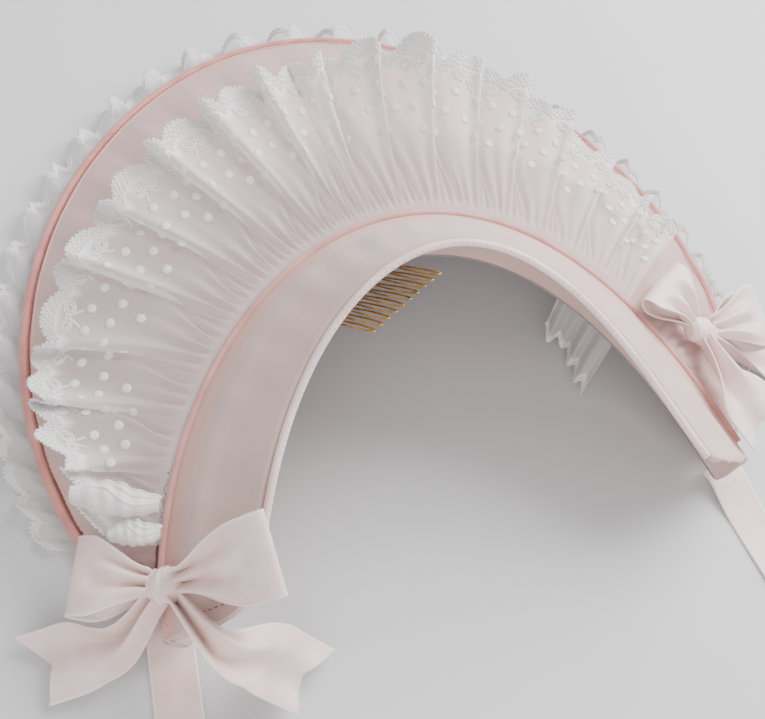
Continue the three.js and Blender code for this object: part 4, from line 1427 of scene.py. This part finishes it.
class HeaddressColours(bpy.types.PropertyGroup):
    """Colours of the cloth, ribbon, lace and wire"""

    band: colour_setting("Band", "Cotton lawn of the band", "#D7BBB2")
    brim: colour_setting("Brim", "Gathered lawn of the brim", "#CAAAA5")
    satin: colour_setting("Satin", "Ribbon of the bows, ties and band edging", "#F3DDD8")
    binding: colour_setting("Piping", "Bias binding over the rim cord", "#D8938A")
    lace: colour_setting("Lace", "Net and embroidery of both ruffles", "#F5F2F1")
    wire: colour_setting("Wire", "Brass of the comb", "#C79A4B")
    table: colour_setting("Table", "Table top under the headdress", "#D6D7D9")


class HeaddressSizes(bpy.types.PropertyGroup):
    """Sizes that can be changed without new solids"""

    mesh: length_setting("Net cell", "Distance between the threads of the net, as drawn", 0.65, 0.4, 3)
    dot: length_setting("Lace dot", "Diameter of the embroidered dots", 2.8, 1, 4)
    stitch: length_setting("Seam stitch", "Length of the stitches along the seam", 1.4, 0.8, 3)
    light: bpy.props.FloatProperty(
        name="Light", description="Strength of the studio light", default=1.0, min=0.1, max=4.0
    )


MATERIALS = {}


def materials():
    """The finishes, made once from the colours of the scene."""
    if not MATERIALS:
        colours = bpy.context.scene.headdress_colours
        cell = bpy.context.scene.headdress_sizes.mesh / MM
        band, brim_cloth, satin, binding, lace, wire = (
            hex_of(getattr(colours, key)) for key in ("band", "brim", "satin", "binding", "lace", "wire")
        )
        MATERIALS.update(
            {
                "lawn": cotton_lawn("dusty pink cotton lawn", band, "#CDB5B1", "#E6C8BE", allowance=6.0),
                "gathered lawn": cotton_lawn("gathered cotton lawn", brim_cloth, "#C6A9A6", "#E0BFB6"),
                # The satin's last colour is the painted highlight along the ribbon's edges
                "satin": satin_ribbon("blush satin ribbon", satin, "#E8CBC4", "#FBF1EE"),
                "binding": bias_binding("coral bias binding", binding, "#C67F78"),
                "pale binding": bias_binding("faded bias binding", "#DDA79E", "#CE938B"),
                "front net": bobbin_net("front bobbin net", lace, cell, 0.12, 0.85, 7.0),
                "back net": bobbin_net("back bobbin net", lace, cell, 0.26, 0.8, 3.0),
                "lace thread": cotton_thread("white lace cotton", lace, "#D9D6D6"),
                "peach thread": cotton_thread("peach sewing cotton", "#E2B7AC", "#CF9F96"),
                "dark thread": cotton_thread("rose sewing cotton", "#A9625C", "#8F4E4A"),
                "brass": brass_wire("drawn brass wire", wire, "#7E5C2A"),
            }
        )
    return MATERIALS


class HEADDRESS_OT_band(bpy.types.Operator):
    """Build the cloth headband and its seam stitches"""

    bl_idname = "headdress.band"
    bl_label = "Headband"

    def execute(self, context):
        headband(materials())
        seam_trim(materials())
        band_end_stitches(materials())
        return {"FINISHED"}


class HEADDRESS_OT_edging(bpy.types.Operator):
    """Build the rolled satin edging of the band"""

    bl_idname = "headdress.edging"
    bl_label = "Band edging"

    def execute(self, context):
        band_edging(materials())
        return {"FINISHED"}


class HEADDRESS_OT_brim(bpy.types.Operator):
    """Build the gathered brim"""

    bl_idname = "headdress.brim"
    bl_label = "Brim"

    def execute(self, context):
        brim(materials())
        return {"FINISHED"}


class HEADDRESS_OT_piping(bpy.types.Operator):
    """Build the corded piping of the rim"""

    bl_idname = "headdress.piping"
    bl_label = "Rim piping"

    def execute(self, context):
        rim_piping(materials())
        return {"FINISHED"}


class HEADDRESS_OT_front_lace(bpy.types.Operator):
    """Build the embroidered lace ruffle on the brim"""

    bl_idname = "headdress.front_lace"
    bl_label = "Front lace"

    def execute(self, context):
        front_ruffle(materials())
        rolled_end(materials())
        return {"FINISHED"}


class HEADDRESS_OT_back_lace(bpy.types.Operator):
    """Build the pleated lace ruffle under the brim"""

    bl_idname = "headdress.back_lace"
    bl_label = "Back lace"

    def execute(self, context):
        back_ruffle(materials())
        loose_end(materials())
        return {"FINISHED"}


class HEADDRESS_OT_comb(bpy.types.Operator):
    """Build the wire comb under the band"""

    bl_idname = "headdress.comb"
    bl_label = "Comb"

    def execute(self, context):
        comb(materials())
        return {"FINISHED"}


class HEADDRESS_OT_bows(bpy.types.Operator):
    """Build both satin bows"""

    bl_idname = "headdress.bows"
    bl_label = "Bows"

    def execute(self, context):
        for bow in BOWS:
            bow_knot(bow, materials())
            for loop in bow["loops"]:
                bow_loop(bow, loop, materials())
            for tail in bow["tails"]:
                bow_tail(bow, tail, materials())
        return {"FINISHED"}


class HEADDRESS_OT_ties(bpy.types.Operator):
    """Build the ribbon ties"""

    bl_idname = "headdress.ties"
    bl_label = "Ties"

    def execute(self, context):
        for row in TIES:
            tie(row, materials())
        return {"FINISHED"}


class HEADDRESS_OT_stage(bpy.types.Operator):
    """Set the table, the studio light and the camera"""

    bl_idname = "headdress.stage"
    bl_label = "Stage"

    def execute(self, context):
        stage(hex_of(context.scene.headdress_colours.table), context.scene.headdress_sizes.light)
        return {"FINISHED"}


OPERATORS = [
    HEADDRESS_OT_stage,
    HEADDRESS_OT_band,
    HEADDRESS_OT_edging,
    HEADDRESS_OT_brim,
    HEADDRESS_OT_piping,
    HEADDRESS_OT_front_lace,
    HEADDRESS_OT_back_lace,
    HEADDRESS_OT_comb,
    HEADDRESS_OT_bows,
    HEADDRESS_OT_ties,
]


class HEADDRESS_PT_panel(bpy.types.Panel):
    """The pieces of the headdress"""

    bl_idname = "HEADDRESS_PT_panel"
    bl_label = "Lace headdress"
    bl_space_type = "VIEW_3D"
    bl_region_type = "UI"
    bl_category = "Headdress"

    def draw(self, context):
        for group in (context.scene.headdress_colours, context.scene.headdress_sizes):
            for key in group.__annotations__:
                self.layout.prop(group, key)
        for kind in OPERATORS:
            self.layout.operator(kind.bl_idname)


CLASSES = [HeaddressColours, HeaddressSizes, *OPERATORS, HEADDRESS_PT_panel]


def register():
    for kind in CLASSES:
        bpy.utils.register_class(kind)
    bpy.types.Scene.headdress_colours = bpy.props.PointerProperty(type=HeaddressColours)
    bpy.types.Scene.headdress_sizes = bpy.props.PointerProperty(type=HeaddressSizes)


def unregister():
    del bpy.types.Scene.headdress_sizes
    del bpy.types.Scene.headdress_colours
    for kind in reversed(CLASSES):
        bpy.utils.unregister_class(kind)


def main():
    register()
    for kind in OPERATORS:
        group, action = kind.bl_idname.split(".")
        getattr(getattr(bpy.ops, group), action)()


if __name__ == "__main__":
    main()
